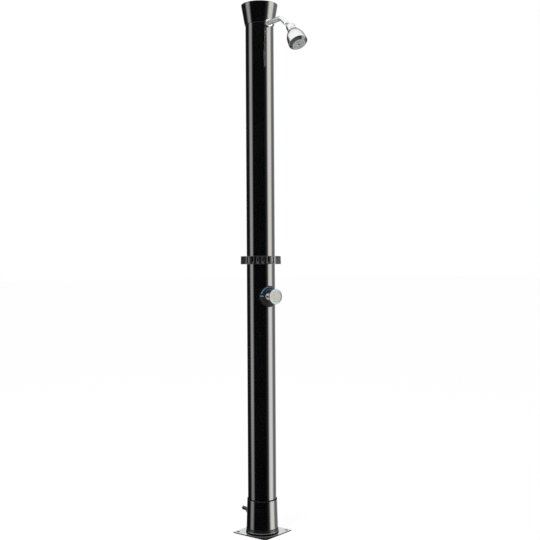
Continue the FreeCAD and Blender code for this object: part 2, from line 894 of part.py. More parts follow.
def feed_manifold():
    """Tee that sends the incoming water to the tank and to the mixer."""
    barrel_r = size("manifold_od") / 2
    bore_r = size("pipe_bore") / 2
    rear_end = tube_bore - 4 - 3 - 12 + 10 - face_gap
    front_end = -pipe_row - port_r - 1
    body = turned("feed_manifold", [(0, front_end), (barrel_r, front_end), (barrel_r, rear_end), (0, rear_end)],
                  "rear")
    seat = barrel_r
    for y in (as_size(0), -pipe_row):
        post_up(body, 0, y, port_r, 0, seat + port_depth)
        bore_up(body, 0, y, pipe_fit, seat - face_gap, port_depth + 1)
        bore_up(body, 0, y, bore_r, 0, seat + 1)
    sketch = new_sketch(body, "XZ_Plane", -rear_end - 1)
    draw_circle(sketch, 0, 0, size("manifold_bore") / 2)
    cut(body, sketch, rear_end - front_end - 1, backwards=True)
    place(body, z=size("inlet_height"))
    finish(body, "feed_manifold")


# ---------------------------------------------------------------- joint between the halves

def joint_pieces():
    """Threaded collar, seal, flanged collar, slip ring and the ribbed coupling nut."""
    top = size("joint_height")
    thick = size("flange_thick")
    collar_r = out("collar_step")
    bore_r = out("collar_bore_step")
    low = top - size("lower_collar_rise")
    body = turned("lower_collar", [
        (tube_r + face_gap, low), (collar_r, low), (collar_r, top), (bore_r, top),
        (bore_r, top - thick + face_gap), (tube_r + face_gap, top - thick + face_gap)])
    finish(body, "lower_collar")

    seal_top = top + size("seal_thick")
    body = turned("joint_seal", [(bore_r + 1, top), (out("flange_step") - 1, top),
                                 (out("flange_step") - 1, seal_top), (bore_r + 1, seal_top)])
    finish(body, "joint_seal")

    flange_top = upper_flange_top()
    flange_r = out("flange_step")
    body = turned("upper_collar", [
        (bore_r, seal_top), (flange_r, seal_top), (flange_r, flange_top), (plug_r, flange_top),
        (plug_r, flange_top + size("flange_sleeve")), (bore_r, flange_top + size("flange_sleeve"))])
    finish(body, "upper_collar")

    ring_low = flange_top + face_gap
    ring_top = ring_low + size("slip_ring_thick")
    ring_r = tube_r + size("slip_ring_play")
    body = turned("nut_slip_ring", [(ring_r, ring_low), (flange_r, ring_low), (flange_r, ring_top),
                                    (ring_r, ring_top)])
    finish(body, "nut_slip_ring")
    coupling_nut(ring_top + face_gap, ring_r)


def coupling_nut(shoulder_low, mouth_r):
    """Ring nut with an inward shoulder above and twenty-four finger grooves around it."""
    nut_top = shoulder_low + size("nut_shoulder")
    low = nut_top - size("nut_height")
    thread_r = out("collar_step") + face_gap
    top_r = out("nut_top_step")
    low_r = out("nut_low_step")
    edge = size("nut_chamfer")
    body = turned("coupling_nut", [
        (thread_r, low), (low_r - edge / 2, low), (low_r, low + edge / 2), (top_r, nut_top - edge),
        (top_r - edge, nut_top), (mouth_r, nut_top), (mouth_r, shoulder_low), (thread_r, shoulder_low)])
    rim = size("grip_rim")
    half = size("grip_groove") / 2
    floor_r = top_r - size("grip_depth")
    sketch = new_sketch(body, "XY_Plane", low + rim)
    draw_outline(sketch, [(-half, -low_r - 2), (half, -low_r - 2), (half - 1, -floor_r), (-half + 1, -floor_r)])
    groove = cut(body, sketch, size("nut_height") - rim * 2, backwards=True)
    around(body, groove, size("grip_count"))
    finish(body, "coupling_nut")


# ---------------------------------------------------------------- mixer

def mixer_pieces():
    """Valve body, cartridge, gland, saddle, rosette, lock nut, dome and knob."""
    height = mixer_height
    body_r = size("mixer_body_od") / 2
    back = out("mixer_body_back")
    front = out("mixer_body_front")
    flange_r = size("mixer_flange_od") / 2
    flange_front = front + size("mixer_flange_thick")
    neck_r = size("mixer_neck_od") / 2
    neck_end = out("mixer_neck_end")
    cartridge_r = size("cartridge_od") / 2
    cavity_r = cartridge_r + face_gap
    cavity_back = out("cartridge_back") - face_gap
    port_y = -pipe_row

    body = turned("mixer_body", [
        (0, back), (body_r, back), (body_r, front), (flange_r, front), (flange_r, flange_front),
        (neck_r, flange_front), (neck_r, neck_end), (cavity_r, neck_end), (cavity_r, cavity_back),
        (0, cavity_back)], "front")
    for foot in (body_r - 6, -body_r - port_depth):
        post_up(body, 0, port_y, port_r, foot, port_depth + 6)
    post_up(body, hot_x, port_y, port_r, -6, body_r + port_depth + 6)
    bore_up(body, 0, port_y, pipe_fit, body_r, port_depth + 1)
    bore_up(body, hot_x, port_y, pipe_fit, body_r, port_depth + 1)
    bore_up(body, 0, port_y, pipe_fit, -body_r - port_depth - 1, port_depth + 1)
    bore_up(body, 0, port_y, size("pipe_bore") / 2, -body_r - 1, size("mixer_body_od") + 2)
    bore_up(body, hot_x, port_y, size("pipe_bore") / 2, -3, body_r + 4)
    sketch = new_sketch(body, "YZ_Plane", hot_x)
    draw_circle(sketch, port_y, 1, 3.0)
    cut(body, sketch, -hot_x, backwards=True)
    place(body, z=height)
    finish(body, "mixer_body")

    body = turned("mixer_cartridge", [
        (0, out("cartridge_back")), (cartridge_r, out("cartridge_back")),
        (cartridge_r, out("cartridge_front")), (size("spindle_od") / 2 + face_gap, out("cartridge_front")),
        (size("spindle_od") / 2 + face_gap, out("cartridge_back") + 8), (0, out("cartridge_back") + 8)],
        "front")
    place(body, z=height)
    finish(body, "mixer_cartridge")

    gland_r = size("gland_head_od") / 2
    gland_back = out("cartridge_front") + face_gap
    body = turned("cartridge_gland", [
        (size("spindle_od") / 2 + run_gap, gland_back), (cartridge_r, gland_back),
        (cartridge_r, neck_end), (gland_r, neck_end), (gland_r, out("gland_end")),
        (size("spindle_od") / 2 + run_gap, out("gland_end"))], "front")
    place(body, z=height)
    finish(body, "cartridge_gland")

    spindle_r = size("spindle_od") / 2
    spindle_end = out("spindle_end")
    body = turned("mixer_spindle", [
        (0, out("cartridge_back") + 8.2), (spindle_r, out("cartridge_back") + 8.2),
        (spindle_r, spindle_end - 1), (spindle_r - 1, spindle_end), (0, spindle_end)], "front")
    place(body, z=height)
    finish(body, "mixer_spindle")

    saddle = round_bar("saddle_blank", flange_r, tube_bore - flange_front, 0, -flange_front, height, quarter)
    neck_hole = round_bar("saddle_hole", neck_r + slip_gap, tube_bore, 0, -flange_front, height, quarter)
    inside = round_bar("saddle_curve", tube_bore - face_gap, flange_r * 4, 0, 0, height - flange_r * 2)
    saddle = combine("Part::Cut", "saddle_ring", saddle, neck_hole)
    saddle = combine("Part::Common", "mixer_saddle", saddle, inside)
    finish(saddle, "mixer_saddle")
    rosette()
    mixer_dome()
    knob_pieces()


def rosette():
    """Thin round cover that follows the column's curve behind the knob."""
    height = mixer_height
    outer_r = tube_r + size("rosette_thick")
    length = size("rosette_height") + 20
    foot = height - length / 2
    outside = round_bar("rosette_outside", outer_r, length, 0, 0, foot)
    inside = round_bar("rosette_inside", tube_r + face_gap, length, 0, 0, foot)
    shell = combine("Part::Cut", "rosette_shell", outside, inside)
    rim = primitive("Part::Ellipse", "rosette_rim",
                    MajorRadius=size("rosette_height") / 2, MinorRadius=size("rosette_width") / 2)
    blade = doc.addObject("Part::Extrusion", "rosette_blade")
    blade.Base = rim
    blade.DirMode = "Custom"
    blade.Dir = FreeCAD.Vector(0, 0, 1)
    blade.LengthFwd = (outer_r + 5).number
    blade.setExpression("LengthFwd", (outer_r + 5).formula)
    blade.Solid = True
    rim.Placement = FreeCAD.Placement(FreeCAD.Vector(), FreeCAD.Rotation(FreeCAD.Vector(0, 0, 1), 90))
    place(blade, 0, 0, height, quarter, (1, 0, 0))
    plate = combine("Part::Common", "rosette_plate", shell, blade)
    hole = round_bar("rosette_hole", size("mixer_neck_od") / 2 + slip_gap, outer_r + 5, 0, 0, height, quarter)
    finish(combine("Part::Cut", "rosette", plate, hole), "rosette")


def mixer_dome():
    """Lock nut on the neck and the rounded chrome dome that hides it."""
    height = mixer_height
    neck_r = size("mixer_neck_od") / 2
    nut_back = tube_r + size("rosette_thick") + face_gap
    nut_r = size("lock_nut_od") / 2
    body = turned("mixer_lock_nut", [
        (neck_r + face_gap, nut_back), (nut_r, nut_back), (nut_r - 0.6, nut_back + size("lock_nut_thick")),
        (neck_r + face_gap, nut_back + size("lock_nut_thick"))], "front")
    place(body, z=height)
    finish(body, "mixer_lock_nut")

    outer = size("dome_od") / 2
    inner = outer - size("dome_wall")
    mouth = size("stem_od") / 2 + slip_gap
    body = turned("dome_blank", [
        (inner, 0), (outer, 0, outer), (mouth, chord(outer, mouth)), (mouth, chord(inner, mouth), -inner)],
        "front")
    place(body, 0, -out("dome_centre"), height)
    curve = round_bar("dome_curve", tube_r + size("rosette_thick") + face_gap, outer * 4, 0, 0,
                      height - outer * 2)
    finish(combine("Part::Cut", "mixer_dome", body, curve), "mixer_dome")


def knob_pieces():
    """Disc knob on a stem, its splined adapter and the grub screw that holds it."""
    height = mixer_height
    knob_r = size("knob_od") / 2
    front = out("knob_front")
    back = front - size("knob_thick")
    edge = size("knob_edge")
    bevel = size("knob_back_bevel")
    dish = size("knob_dish")
    stem_r = size("stem_od") / 2
    adapter_r = size("adapter_od") / 2
    stem_back = out("stem_back")
    adapter_end = out("spindle_end") + 1
    body = turned("mixer_knob", [
        (adapter_r + run_gap, stem_back), (stem_r, stem_back), (stem_r, back - 4, -4.0), (stem_r + 4, back),
        (knob_r - bevel, back), (knob_r, back + bevel), (knob_r, front - edge, edge), (knob_r - edge, front),
        (knob_r - edge * 2, front - dish), (0, front - dish), (0, adapter_end),
        (adapter_r + run_gap, adapter_end)], "front")
    sketch = new_sketch(body, "XY_Plane")
    draw_circle(sketch, 0, -(stem_back + adapter_end) / 2, size("grub_od") / 2 + run_gap)
    cut(body, sketch, stem_r + 2)
    sketch = new_sketch(body, "XZ_Plane", back)
    draw_outline(sketch, [(-knob_r - 1, -0.8), (-knob_r + 3, -0.8), (-knob_r + 3, 0.8), (-knob_r - 1, 0.8)])
    cut(body, sketch, size("knob_thick") + 1, backwards=True)
    place(body, z=height)
    finish(body, "mixer_knob")

    body = turned("spline_adapter", [
        (size("spindle_od") / 2 + run_gap, stem_back + 1), (adapter_r, stem_back + 1),
        (adapter_r, adapter_end - face_gap), (size("spindle_od") / 2 + run_gap, adapter_end - face_gap)],
        "front")
    place(body, z=height)
    finish(body, "spline_adapter")

    body = turned("knob_grub_screw", [
        (0, adapter_r + face_gap), (size("grub_od") / 2, adapter_r + face_gap),
        (size("grub_od") / 2, stem_r - 0.2), (0, stem_r - 0.2)])
    place(body, 0, -(stem_back + adapter_end) / 2, height, quarter * 2, (1, 0, 0))
    finish(body, "knob_grub_screw")


# ---------------------------------------------------------------- arm

def arm_pieces():
    """Inner elbow, gaskets, hexagon nut and the bent chrome arm."""
    height = arm_height
    thread_r = size("arm_thread") / 2
    spigot_r = size("arm_od") / 2 - size("arm_wall") - face_gap
    flange_r = size("elbow_flange_od") / 2
    body_r = size("elbow_body_od") / 2
    flange_front = tube_bore - 4
    flange_back = flange_front - size("elbow_flange_thick")
    bore_r = size("pipe_bore") / 2
    start = out("arm_start")
    body = turned("arm_elbow", [
        (0, pipe_row - body_r), (body_r, pipe_row - body_r), (body_r, flange_back), (flange_r, flange_back),
        (flange_r, flange_front), (thread_r, flange_front), (thread_r, start - face_gap),
        (spigot_r, start - face_gap), (spigot_r, out("arm_spigot_end")),
        (bore_r, out("arm_spigot_end")), (bore_r, pipe_row - bore_r), (0, pipe_row - bore_r)], "front")
    post_up(body, 0, -pipe_row, port_r, -size("elbow_drop"), size("elbow_drop"))
    bore_up(body, 0, -pipe_row, pipe_fit, -size("elbow_drop") - 1, size("elbow_drop") - body_r + 1)
    bore_up(body, 0, -pipe_row, bore_r - 0.4, -body_r - 1, body_r + 1)
    place(body, z=height)
    finish(body, "arm_elbow")

    nut_back = out("arm_nut_back")
    saddle_gaskets("arm_gaskets", height, thread_r + face_gap * 2, flange_r, flange_front, nut_back, "front")
    arm_nut()
    shower_arm()


def arm_nut():
    """Hexagon nut with chamfered corners that clamps the elbow and holds the arm."""
    corner_r = size("arm_nut_flats") / cosine(quarter / 3) / 2
    thick = size("arm_nut_thick")
    back = out("arm_nut_back")
    hole_r = size("arm_od") / 2 + face_gap
    prism = primitive("Part::Prism", "nut_prism", Circumradius=corner_r, Height=thick)
    prism.Polygon = 6
    place(prism, 0, -back, arm_height, quarter, (1, 0, 0))
    flat_r = size("arm_nut_flats") / 2
    form = turned("nut_form", [
        (hole_r, 0), (corner_r, 0), (corner_r, thick - 1.6), (flat_r - 0.5, thick), (hole_r + 1, thick),
        (hole_r, thick - 1)], "front")
    place(form, 0, -back, arm_height)
    finish(combine("Part::Common", "arm_nut", prism, form), "arm_nut")


def shower_arm():
    """Chrome tube: level out of the nut, then bent down towards the head."""
    body = new_body("shower_arm")
    start = out("arm_start")
    bend = out("arm_bend")
    droop = size("arm_droop")
    radius = size("arm_bend_radius")
    step = radius * tangent(droop / 2)
    length = size("arm_to_ball") - size("ball_collar_back")
    path = new_sketch(body, "YZ_Plane")
    draw_outline(path, [
        (-start, 0), (-bend + step, 0, radius),
        (-bend - step * cosine(droop), -step * sine(droop)),
        (-bend - length * cosine(droop), -length * sine(droop))], closed=False)
    section = new_sketch(body, "XZ_Plane", start)
    draw_circle(section, 0, 0, size("arm_od") / 2)
    draw_circle(section, 0, 0, size("arm_od") / 2 - size("arm_wall"))
    tube = body.newObject("PartDesign::AdditivePipe", "arm_sweep")
    tube.Profile = section
    tube.Spine = path
    place(body, z=arm_height)
    finish(body, "shower_arm")


# ---------------------------------------------------------------- swivel and spray head

def on_arm_end(piece):
    """Carry a piece from the ball's centre, with its own +Z along the arm's last stretch."""
    return at_ball(piece, size("arm_droop"))


def on_head(piece):
    """Carry a piece from the ball's centre, with its own +Z out of the spray face."""
    return at_ball(piece, size("head_droop"))


def at_ball(piece, droop):
    reach = out("arm_bend") + size("arm_to_ball") * cosine(size("arm_droop"))
    drop = size("arm_to_ball") * sine(size("arm_droop"))
    return place(piece, 0, -reach, arm_height - drop, quarter + droop, (1, 0, 0))


def swivel_pieces():
    """Ball on the arm's end, the friction ring around it, its seat, and the nut."""
    ball_r = size("ball_od") / 2
    neck_r = size("ball_neck") / 2
    bore_r = size("ball_bore") / 2
    collar_r = size("arm_od") / 2
    spigot_r = collar_r - size("arm_wall") - face_gap
    collar_back = -size("ball_collar_back") + face_gap
    collar_front = collar_back + size("ball_collar_thick")
    spigot_back = -size("ball_collar_back") - size("ball_spigot")
    body = turned("swivel_ball", [
        (bore_r, spigot_back), (spigot_r, spigot_back), (spigot_r, collar_back), (collar_r, collar_back),
        (collar_r, collar_front), (neck_r, collar_front + 2), (neck_r, -chord(ball_r, neck_r), ball_r),
        (ball_r, 0, ball_r), (bore_r, chord(ball_r, bore_r))])
    on_arm_end(body)
    finish(body, "swivel_ball")

    ring_in = ball_r + run_gap
    ring_out = ring_in + size("swivel_ring_thick")
    half = size("swivel_ring_half")
    body = turned("swivel_ring", [
        (ring_in * cosine(half), -ring_in * sine(half)),
        (ring_out * cosine(half), -ring_out * sine(half), ring_out),
        (ring_out * cosine(half), ring_out * sine(half)),
        (ring_in * cosine(half), ring_in * sine(half), -ring_in)])
    on_head(body)
    finish(body, "swivel_ring")

    pocket_r = ring_out + run_gap
    lip = size("lip_angle")
    nut_r = size("ball_nut_od") / 2
    nut_back = -size("ball_nut_back")
    nut_front = size("ball_nut_front")
    thread_r = size("neck_od") / 2 + face_gap
    neck_start = size("neck_start")
    body = turned("ball_nut", [
        (size("ball_nut_mouth") / 2, nut_back), (nut_r - 2, nut_back), (nut_r, nut_back + 2),
        (nut_r, nut_front - 1), (nut_r - 1, nut_front), (thread_r, nut_front),
        (thread_r, neck_start - face_gap), (pocket_r, neck_start - face_gap), (pocket_r, 0, -pocket_r),
        (pocket_r * sine(lip), -pocket_r * cosine(lip))])
    on_head(body)
    finish(body, "ball_nut")

    contact_r = ball_r + face_gap
    seat_bore = size("seat_bore") / 2
    seat_back = size("seat_back")
    seat_r = size("neck_bore") / 2 - face_gap
    seat_front = size("seat_front")
    body = turned("ball_seat", [
        (seat_bore, seat_front), (seat_bore, chord(contact_r, seat_bore), -contact_r),
        (chord(contact_r, seat_back), seat_back), (seat_r, seat_back), (seat_r, seat_front)])
    on_head(body)
    finish(body, "ball_seat")

    screen_back = seat_front - 1.8
    body = turned("flow_screen", [(0, screen_back), (seat_bore - face_gap, screen_back),
                                  (seat_bore - face_gap, screen_back + 1), (0, screen_back + 1)])
    on_head(body)
    finish(body, "flow_screen")


def head_shell():
    """Thin chrome bell with a threaded neck for the ball nut."""
    wall = size("bell_wall")
    web_back = size("seat_front") + face_gap * 2
    web_front = web_back + size("web_thick")
    nut_front = size("ball_nut_front") + slip_gap
    neck_r = size("neck_od") / 2
    waist, waist_r = size("bell_waist"), size("bell_waist_od") / 2
    hip, hip_r = size("bell_hip"), size("bell_hip_od") / 2
    rim, rim_r = size("bell_rim"), size("bell_rim_od") / 2
    waist_bend, hip_bend = size("bell_waist_bend"), size("bell_hip_bend")
    body = turned("head_shell", [
        (size("neck_bore") / 2, size("neck_start")), (neck_r, size("neck_start")), (neck_r, nut_front),
        (size("bell_shoulder") / 2, nut_front, -waist_bend), (waist_r, waist, hip_bend),
        (hip_r, hip), (rim_r, rim), (rim_r - wall, rim),
        (hip_r - wall, hip, -(hip_bend - wall)), (waist_r - wall, waist + wall / 2),
        (waist_r - wall * 3, web_front), (size("web_bore") / 2, web_front),
        (size("web_bore") / 2, web_back), (size("neck_bore") / 2, web_back)])
    on_head(body)
    finish(body, "head_shell")
    return web_front


def head_inside(web_front):
    """Water funnel, jet plate, cone ring, face, nozzle mat and the middle screw."""
    tube_out = size("funnel_od") / 2
    tube_in = tube_out - size("funnel_wall")
    disc_r = size("jet_plate_od") / 2
    flare, disc, end = size("funnel_flare"), size("funnel_disc"), size("funnel_end")
    wall = size("funnel_wall")
    start = web_front + face_gap
    body = turned("head_funnel", [
        (tube_in, start), (tube_out, start), (tube_out, flare), (disc_r, disc), (disc_r, end),
        (disc_r - wall, end), (disc_r - wall, disc + wall), (tube_in, flare + wall)])
    on_head(body)
    finish(body, "head_funnel")

    jet_back = end + face_gap
    jet_front = jet_back + size("jet_plate_thick")
    face_front = size("face_front")
    face_back = face_front - size("face_wall")
    mat_back = face_back - size("mat_thick") - face_gap
    screw_r = size("face_screw_od") / 2
    body = turned("jet_plate", [
        (screw_r + run_gap, jet_back), (disc_r, jet_back), (disc_r, jet_front), (4.5, jet_front),
        (4.5, mat_back - face_gap), (screw_r + run_gap, mat_back - face_gap)])
    hole = bore_up(body, disc_r * 0.6, 0, 2.2, jet_back - 1, size("jet_plate_thick") + 2)
    around(body, hole, 8)
    on_head(body)
    finish(body, "jet_plate")

    rim, rim_r = size("bell_rim"), size("bell_rim_od") / 2
    flange_r = size("face_flange_od") / 2
    flange_back = size("face_flange_back")
    flange_front = flange_back + size("face_flange_thick")
    face_r = size("face_od") / 2
    spigot_r = disc_r + 1.2
    body = turned("face_ring", [
        (flange_r + face_gap, jet_front + face_gap), (spigot_r, jet_front + face_gap), (spigot_r, rim + face_gap),
        (rim_r, rim + face_gap), (face_r, face_front + 0.4), (face_r - 0.6, face_front + 0.4),
        (face_r - 0.6, flange_front + face_gap), (flange_r + face_gap, flange_front + face_gap)])
    on_head(body)
    finish(body, "face_ring")

    disc_face = face_r - 0.7
    cup_r = disc_face - size("face_wall")
    hole_r = size("nozzle_od") / 2 + slip_gap
    body = turned("spray_face", [
        (screw_r + run_gap, face_back), (cup_r, face_back), (cup_r, flange_back), (flange_r, flange_back),
        (flange_r, flange_front), (disc_face, flange_front), (disc_face, face_front),
        (screw_r + run_gap, face_front)])
    for radius, count in nozzle_rings(cup_r):
        hole = bore_up(body, radius, 0, hole_r, face_back - 1, size("face_wall") + 2)
        around(body, hole, count)
    on_head(body)
    finish(body, "spray_face")

    body = turned("nozzle_mat", [
        (4.6, mat_back), (cup_r - face_gap, mat_back), (cup_r - face_gap, mat_back + size("mat_thick")),
        (4.6, mat_back + size("mat_thick"))])
    tip = face_front + size("nozzle_rise")
    for radius, count in nozzle_rings(cup_r):
        nub = post_up(body, radius, 0, size("nozzle_od") / 2, mat_back + 0.5, tip - mat_back - 0.5)
        around(body, nub, count)
    on_head(body)
    finish(body, "nozzle_mat")

    head_r = size("face_screw_head") / 2
    body = turned("face_screw", [
        (0, jet_front), (screw_r, jet_front), (screw_r, face_front + face_gap),
        (head_r, face_front + face_gap), (head_r - 0.5, face_front + 1.6), (0, face_front + 1.6)])
    on_head(body)
    finish(body, "face_screw")


def nozzle_rings(cup_r):
    """Radius and number of nozzles in each ring of the spray face."""
    return [(cup_r * 0.38, 8), (cup_r * 0.62, 12), (cup_r * 0.86, 18)]


# ---------------------------------------------------------------- top cap

def top_cap():
    """Flared cap: outer cone, lid, spigot inside the tube and radial ribs between them."""
    top = size("post_height")
    foot = cap_foot
    foot_r = out("cap_foot_step")
    rim_r = out("cap_rim_step")
    edge = size("cap_edge")
    under = top - size("cap_lid")
    stop = top - size("cap_tube_stop")
    wall = size("cap_wall")
    inner_r = plug_r - size("cap_spigot_wall")
    rest_r = tube_r - 0.5
    body = turned("top_cap", [
        (foot_r - wall, foot), (foot_r, foot), (rim_r - 0.8, top - size("cap_rim_drop") - 3),
        (rim_r, top - size("cap_rim_drop")), (rim_r, top - edge, edge), (rim_r - edge, top),
        (0, top), (0, under), (inner_r, under), (inner_r, stop - size("cap_spigot")),
        (plug_r, stop - size("cap_spigot")), (plug_r, stop + face_gap), (rest_r, stop + face_gap),
        (rest_r, under), (rim_r - 3.2, under)])
    half = size("cap_rib") / 2
    sketch = new_sketch(body, "XY_Plane", stop + 5)
    outer = rim_r - 6
    draw_outline(sketch, [(rest_r - 1, -half), (outer, -half), (outer, half), (rest_r - 1, half)])
    rib = extrude(body, "PartDesign::Pad", sketch, under - stop - 4)
    around(body, rib, size("cap_rib_count"))
    sketch = new_sketch(body, "XZ_Plane", tube_r * 0.7)
    draw_circle(sketch, 0, arm_height, size("cap_notch") / 2)
    cut(body, sketch, rim_r, backwards=True)
    finish(body, "top_cap")


# ---------------------------------------------------------------- build

base_plate()
base_socket()
plate_screws()
tube_screws()
base_cover()
lower_tube_screw_holes(lower_tube())
upper_tube()
lower_tank_floor()
lower_tank_lid()
upper_tank_floor()
spigot_o_rings()
upper_tank_lid()
pipes()
inlet_pieces()
feed_manifold()
joint_pieces()
mixer_pieces()
arm_pieces()
swivel_pieces()
head_inside(head_shell())
top_cap()
doc.recompute()

for item in doc.Objects:
    if "Invalid" in item.State or "Error" in item.State:
        raise RuntimeError(f"{item.Name} did not build: {item.State}")
for piece in finished:
    if piece.Shape.isNull() or not piece.Shape.isValid():
        raise RuntimeError(f"{piece.Label} has no valid shape")

os.makedirs("parts", exist_ok=True)
for piece in finished:
    piece.Shape.exportStep(f"parts/{piece.Label}.step")
print(len(finished), "sub-parts written")
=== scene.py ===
"""Looks of the outdoor solar shower post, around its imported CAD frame.

Lengths are written in millimetres and turned to metres where a mesh is made. +Z is up, the
floor is z = 0 and the arm and the mixer face -Y. Most pieces are surfaces of revolution: an
outline of (radius, distance along the axis) with rounded corners, carried round its axis.
"""

import math

import bpy
import numpy as np
from mathutils import Matrix, Vector

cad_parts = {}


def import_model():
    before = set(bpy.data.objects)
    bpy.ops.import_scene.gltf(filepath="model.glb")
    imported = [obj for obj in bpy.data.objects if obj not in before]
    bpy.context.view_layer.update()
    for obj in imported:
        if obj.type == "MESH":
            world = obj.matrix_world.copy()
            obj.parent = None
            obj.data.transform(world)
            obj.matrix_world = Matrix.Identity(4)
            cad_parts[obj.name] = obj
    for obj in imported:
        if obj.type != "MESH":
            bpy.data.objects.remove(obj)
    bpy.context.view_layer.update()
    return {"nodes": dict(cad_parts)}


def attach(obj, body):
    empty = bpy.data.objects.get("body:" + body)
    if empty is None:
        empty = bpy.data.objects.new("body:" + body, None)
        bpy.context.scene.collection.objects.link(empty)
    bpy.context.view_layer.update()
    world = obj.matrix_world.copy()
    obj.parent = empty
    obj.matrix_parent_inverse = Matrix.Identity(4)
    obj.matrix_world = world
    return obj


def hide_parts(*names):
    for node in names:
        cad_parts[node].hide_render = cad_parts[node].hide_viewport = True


MM = 0.001
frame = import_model()


# ------------------------------------------------------------------ where things are

UP = (np.eye(3), np.zeros(3))


def forward(height):
    """Axis along -Y, out of the column's front, at a height."""
    return np.array([[1.0, 0, 0], [0, 0, -1], [0, 1, 0]]), np.array([0, 0, height])


def backward(height):
    """Axis along +Y, out of the column's rear, at a height."""
    return np.array([[-1.0, 0, 0], [0, 0, 1], [0, 1, 0]]), np.array([0, 0, height])


def drooping(droop):
    """Axis from the ball's centre, forwards and down by an angle below the horizon."""
    c, s = math.cos(math.radians(droop)), math.sin(math.radians(droop))
    return np.array([[1.0, 0, 0], [0, -s, -c], [0, c, -s]]), BALL_CENTRE


TUBE_R, TUBE_BORE_R = 58.0, 55.0
ARM_Z = 2065.0
ARM_DROOP = 40.0        # the arm's lower part and the head, in degrees below the horizon
HEAD_DROOP = 56.5
BEND_REACH = 147.0      # from the column's axis to where the arm's two straights would meet
BEND_TO_BALL = 81.6
BALL_CENTRE = np.array([
    0.0,
    -BEND_REACH - BEND_TO_BALL * math.cos(math.radians(ARM_DROOP)),
    ARM_Z - BEND_TO_BALL * math.sin(math.radians(ARM_DROOP))])
MIXER_Z = 963.0
ROSETTE_REACH = 60.0    # the rosette's face, from the column's axis
ROSETTE_WIDE, ROSETTE_TALL = 39.4, 43.0
INLET_Z = 70.0
PLATE_THICK = 4.0
PLATE_TURN = 15.0


# ------------------------------------------------------------------ surfaces

def put(name, data):
    """An object in the scene for a mesh, a curve, a camera or a lamp."""
    item = bpy.data.objects.new(name, data)
    bpy.context.scene.collection.objects.link(item)
    return item


def to_object(name, points, faces, place=UP):
    """A mesh object from points in millimetres, facing outwards by the sign of its volume."""
    turn, origin = place
    points = np.asarray(points, float) @ turn.T + origin
    faces = [tuple(face) for face in faces]
    volume = 0.0
    for size in (3, 4):
        same = np.array([face for face in faces if len(face) == size], int).reshape(-1, size)
        for k in range(1, size - 1):
            a, b, c = points[same[:, 0]], points[same[:, k]], points[same[:, k + 1]]
            volume += np.einsum("ij,ij->", a - origin, np.cross(b - origin, c - origin))
    if volume < 0:
        faces = [face[::-1] for face in faces]
    mesh = bpy.data.meshes.new(name)
    mesh.from_pydata((points * MM).tolist(), [], faces)
    mesh.polygons.foreach_set("use_smooth", np.full(len(faces), True))
    mesh.update()
    return put(name, mesh)


def of_faces(mesh, what):
    """One vector for each face of a mesh: its centre or its normal."""
    flat = np.zeros(len(mesh.polygons) * 3)
    mesh.polygons.foreach_get(what, flat)
    return flat.reshape(-1, 3)


def ring_quads(rows, around, bands):
    """Quads between neighbouring rings of points; with as many bands as rows, the last ring
    joins the first."""
    row, column = np.meshgrid(np.arange(bands), np.arange(around), indexing="ij")
    below, right = (row + 1) % rows, (column + 1) % around
    return np.stack([row * around + column, row * around + right, below * around + right,
                     below * around + column], 2).reshape(-1, 4)


def turned(vector, angles):
    """A flat vector turned by each of some angles: (x cos a - y sin a, x sin a + y cos a)."""
    return np.stack([vector[0] * np.cos(angles) - vector[1] * np.sin(angles),
                     vector[0] * np.sin(angles) + vector[1] * np.cos(angles)], 1)


def full_turn(count, extra=None):
    """Even angles round the whole way, each once, and some extra ones sorted in among them."""
    turn = np.linspace(0, 2 * np.pi, count, endpoint=False)
    return turn if extra is None else np.unique(np.round(np.concatenate([turn, extra]), 5))


def rounded(corners, closed, steps):
    """An outline whose corners (x, y, fillet radius) become short arcs.

    Each arc runs between the points where a circle of the fillet's radius touches both
    edges. A point is added a little before and after it, to keep the flats flat."""
    straight = math.radians(89.5)
    most_of_edge, hold, hold_share = 0.45, 0.12, 0.3
    corners = [tuple(corner) + (0.0,) * (3 - len(corner)) for corner in corners]
    count = len(corners)
    outline = []
    for i, (x, y, fillet) in enumerate(corners):
        here = np.array([x, y])
        if not closed and i in (0, count - 1):
            outline.append(here)
            continue
        before = np.array(corners[i - 1][:2]) - here
        after = np.array(corners[(i + 1) % count][:2]) - here
        room_before, room_after = np.linalg.norm(before), np.linalg.norm(after)
        before, after = before / room_before, after / room_after
        half = math.acos(max(-1.0, min(1.0, float(before @ after)))) / 2
        if fillet <= 0 or half > straight:
            outline.append(here)
            continue
        reach = min(fillet / math.tan(half), most_of_edge * room_before, most_of_edge * room_after)
        radius = reach * math.tan(half)
        bisector = (before + after) / np.linalg.norm(before + after)
        centre = here + bisector * (radius / math.sin(half))
        start, end = here + before * reach - centre, here + after * reach - centre
        sweep = math.atan2(start[0] * end[1] - start[1] * end[0], float(start @ end))
        arc = turned(start, np.linspace(0, sweep, steps + 1)) + centre
        keep = min(hold, hold_share * (min(room_before, room_after) - reach))
        outline += [here + before * (reach + keep), *arc, here + after * (reach + keep)]
    return np.array(outline)


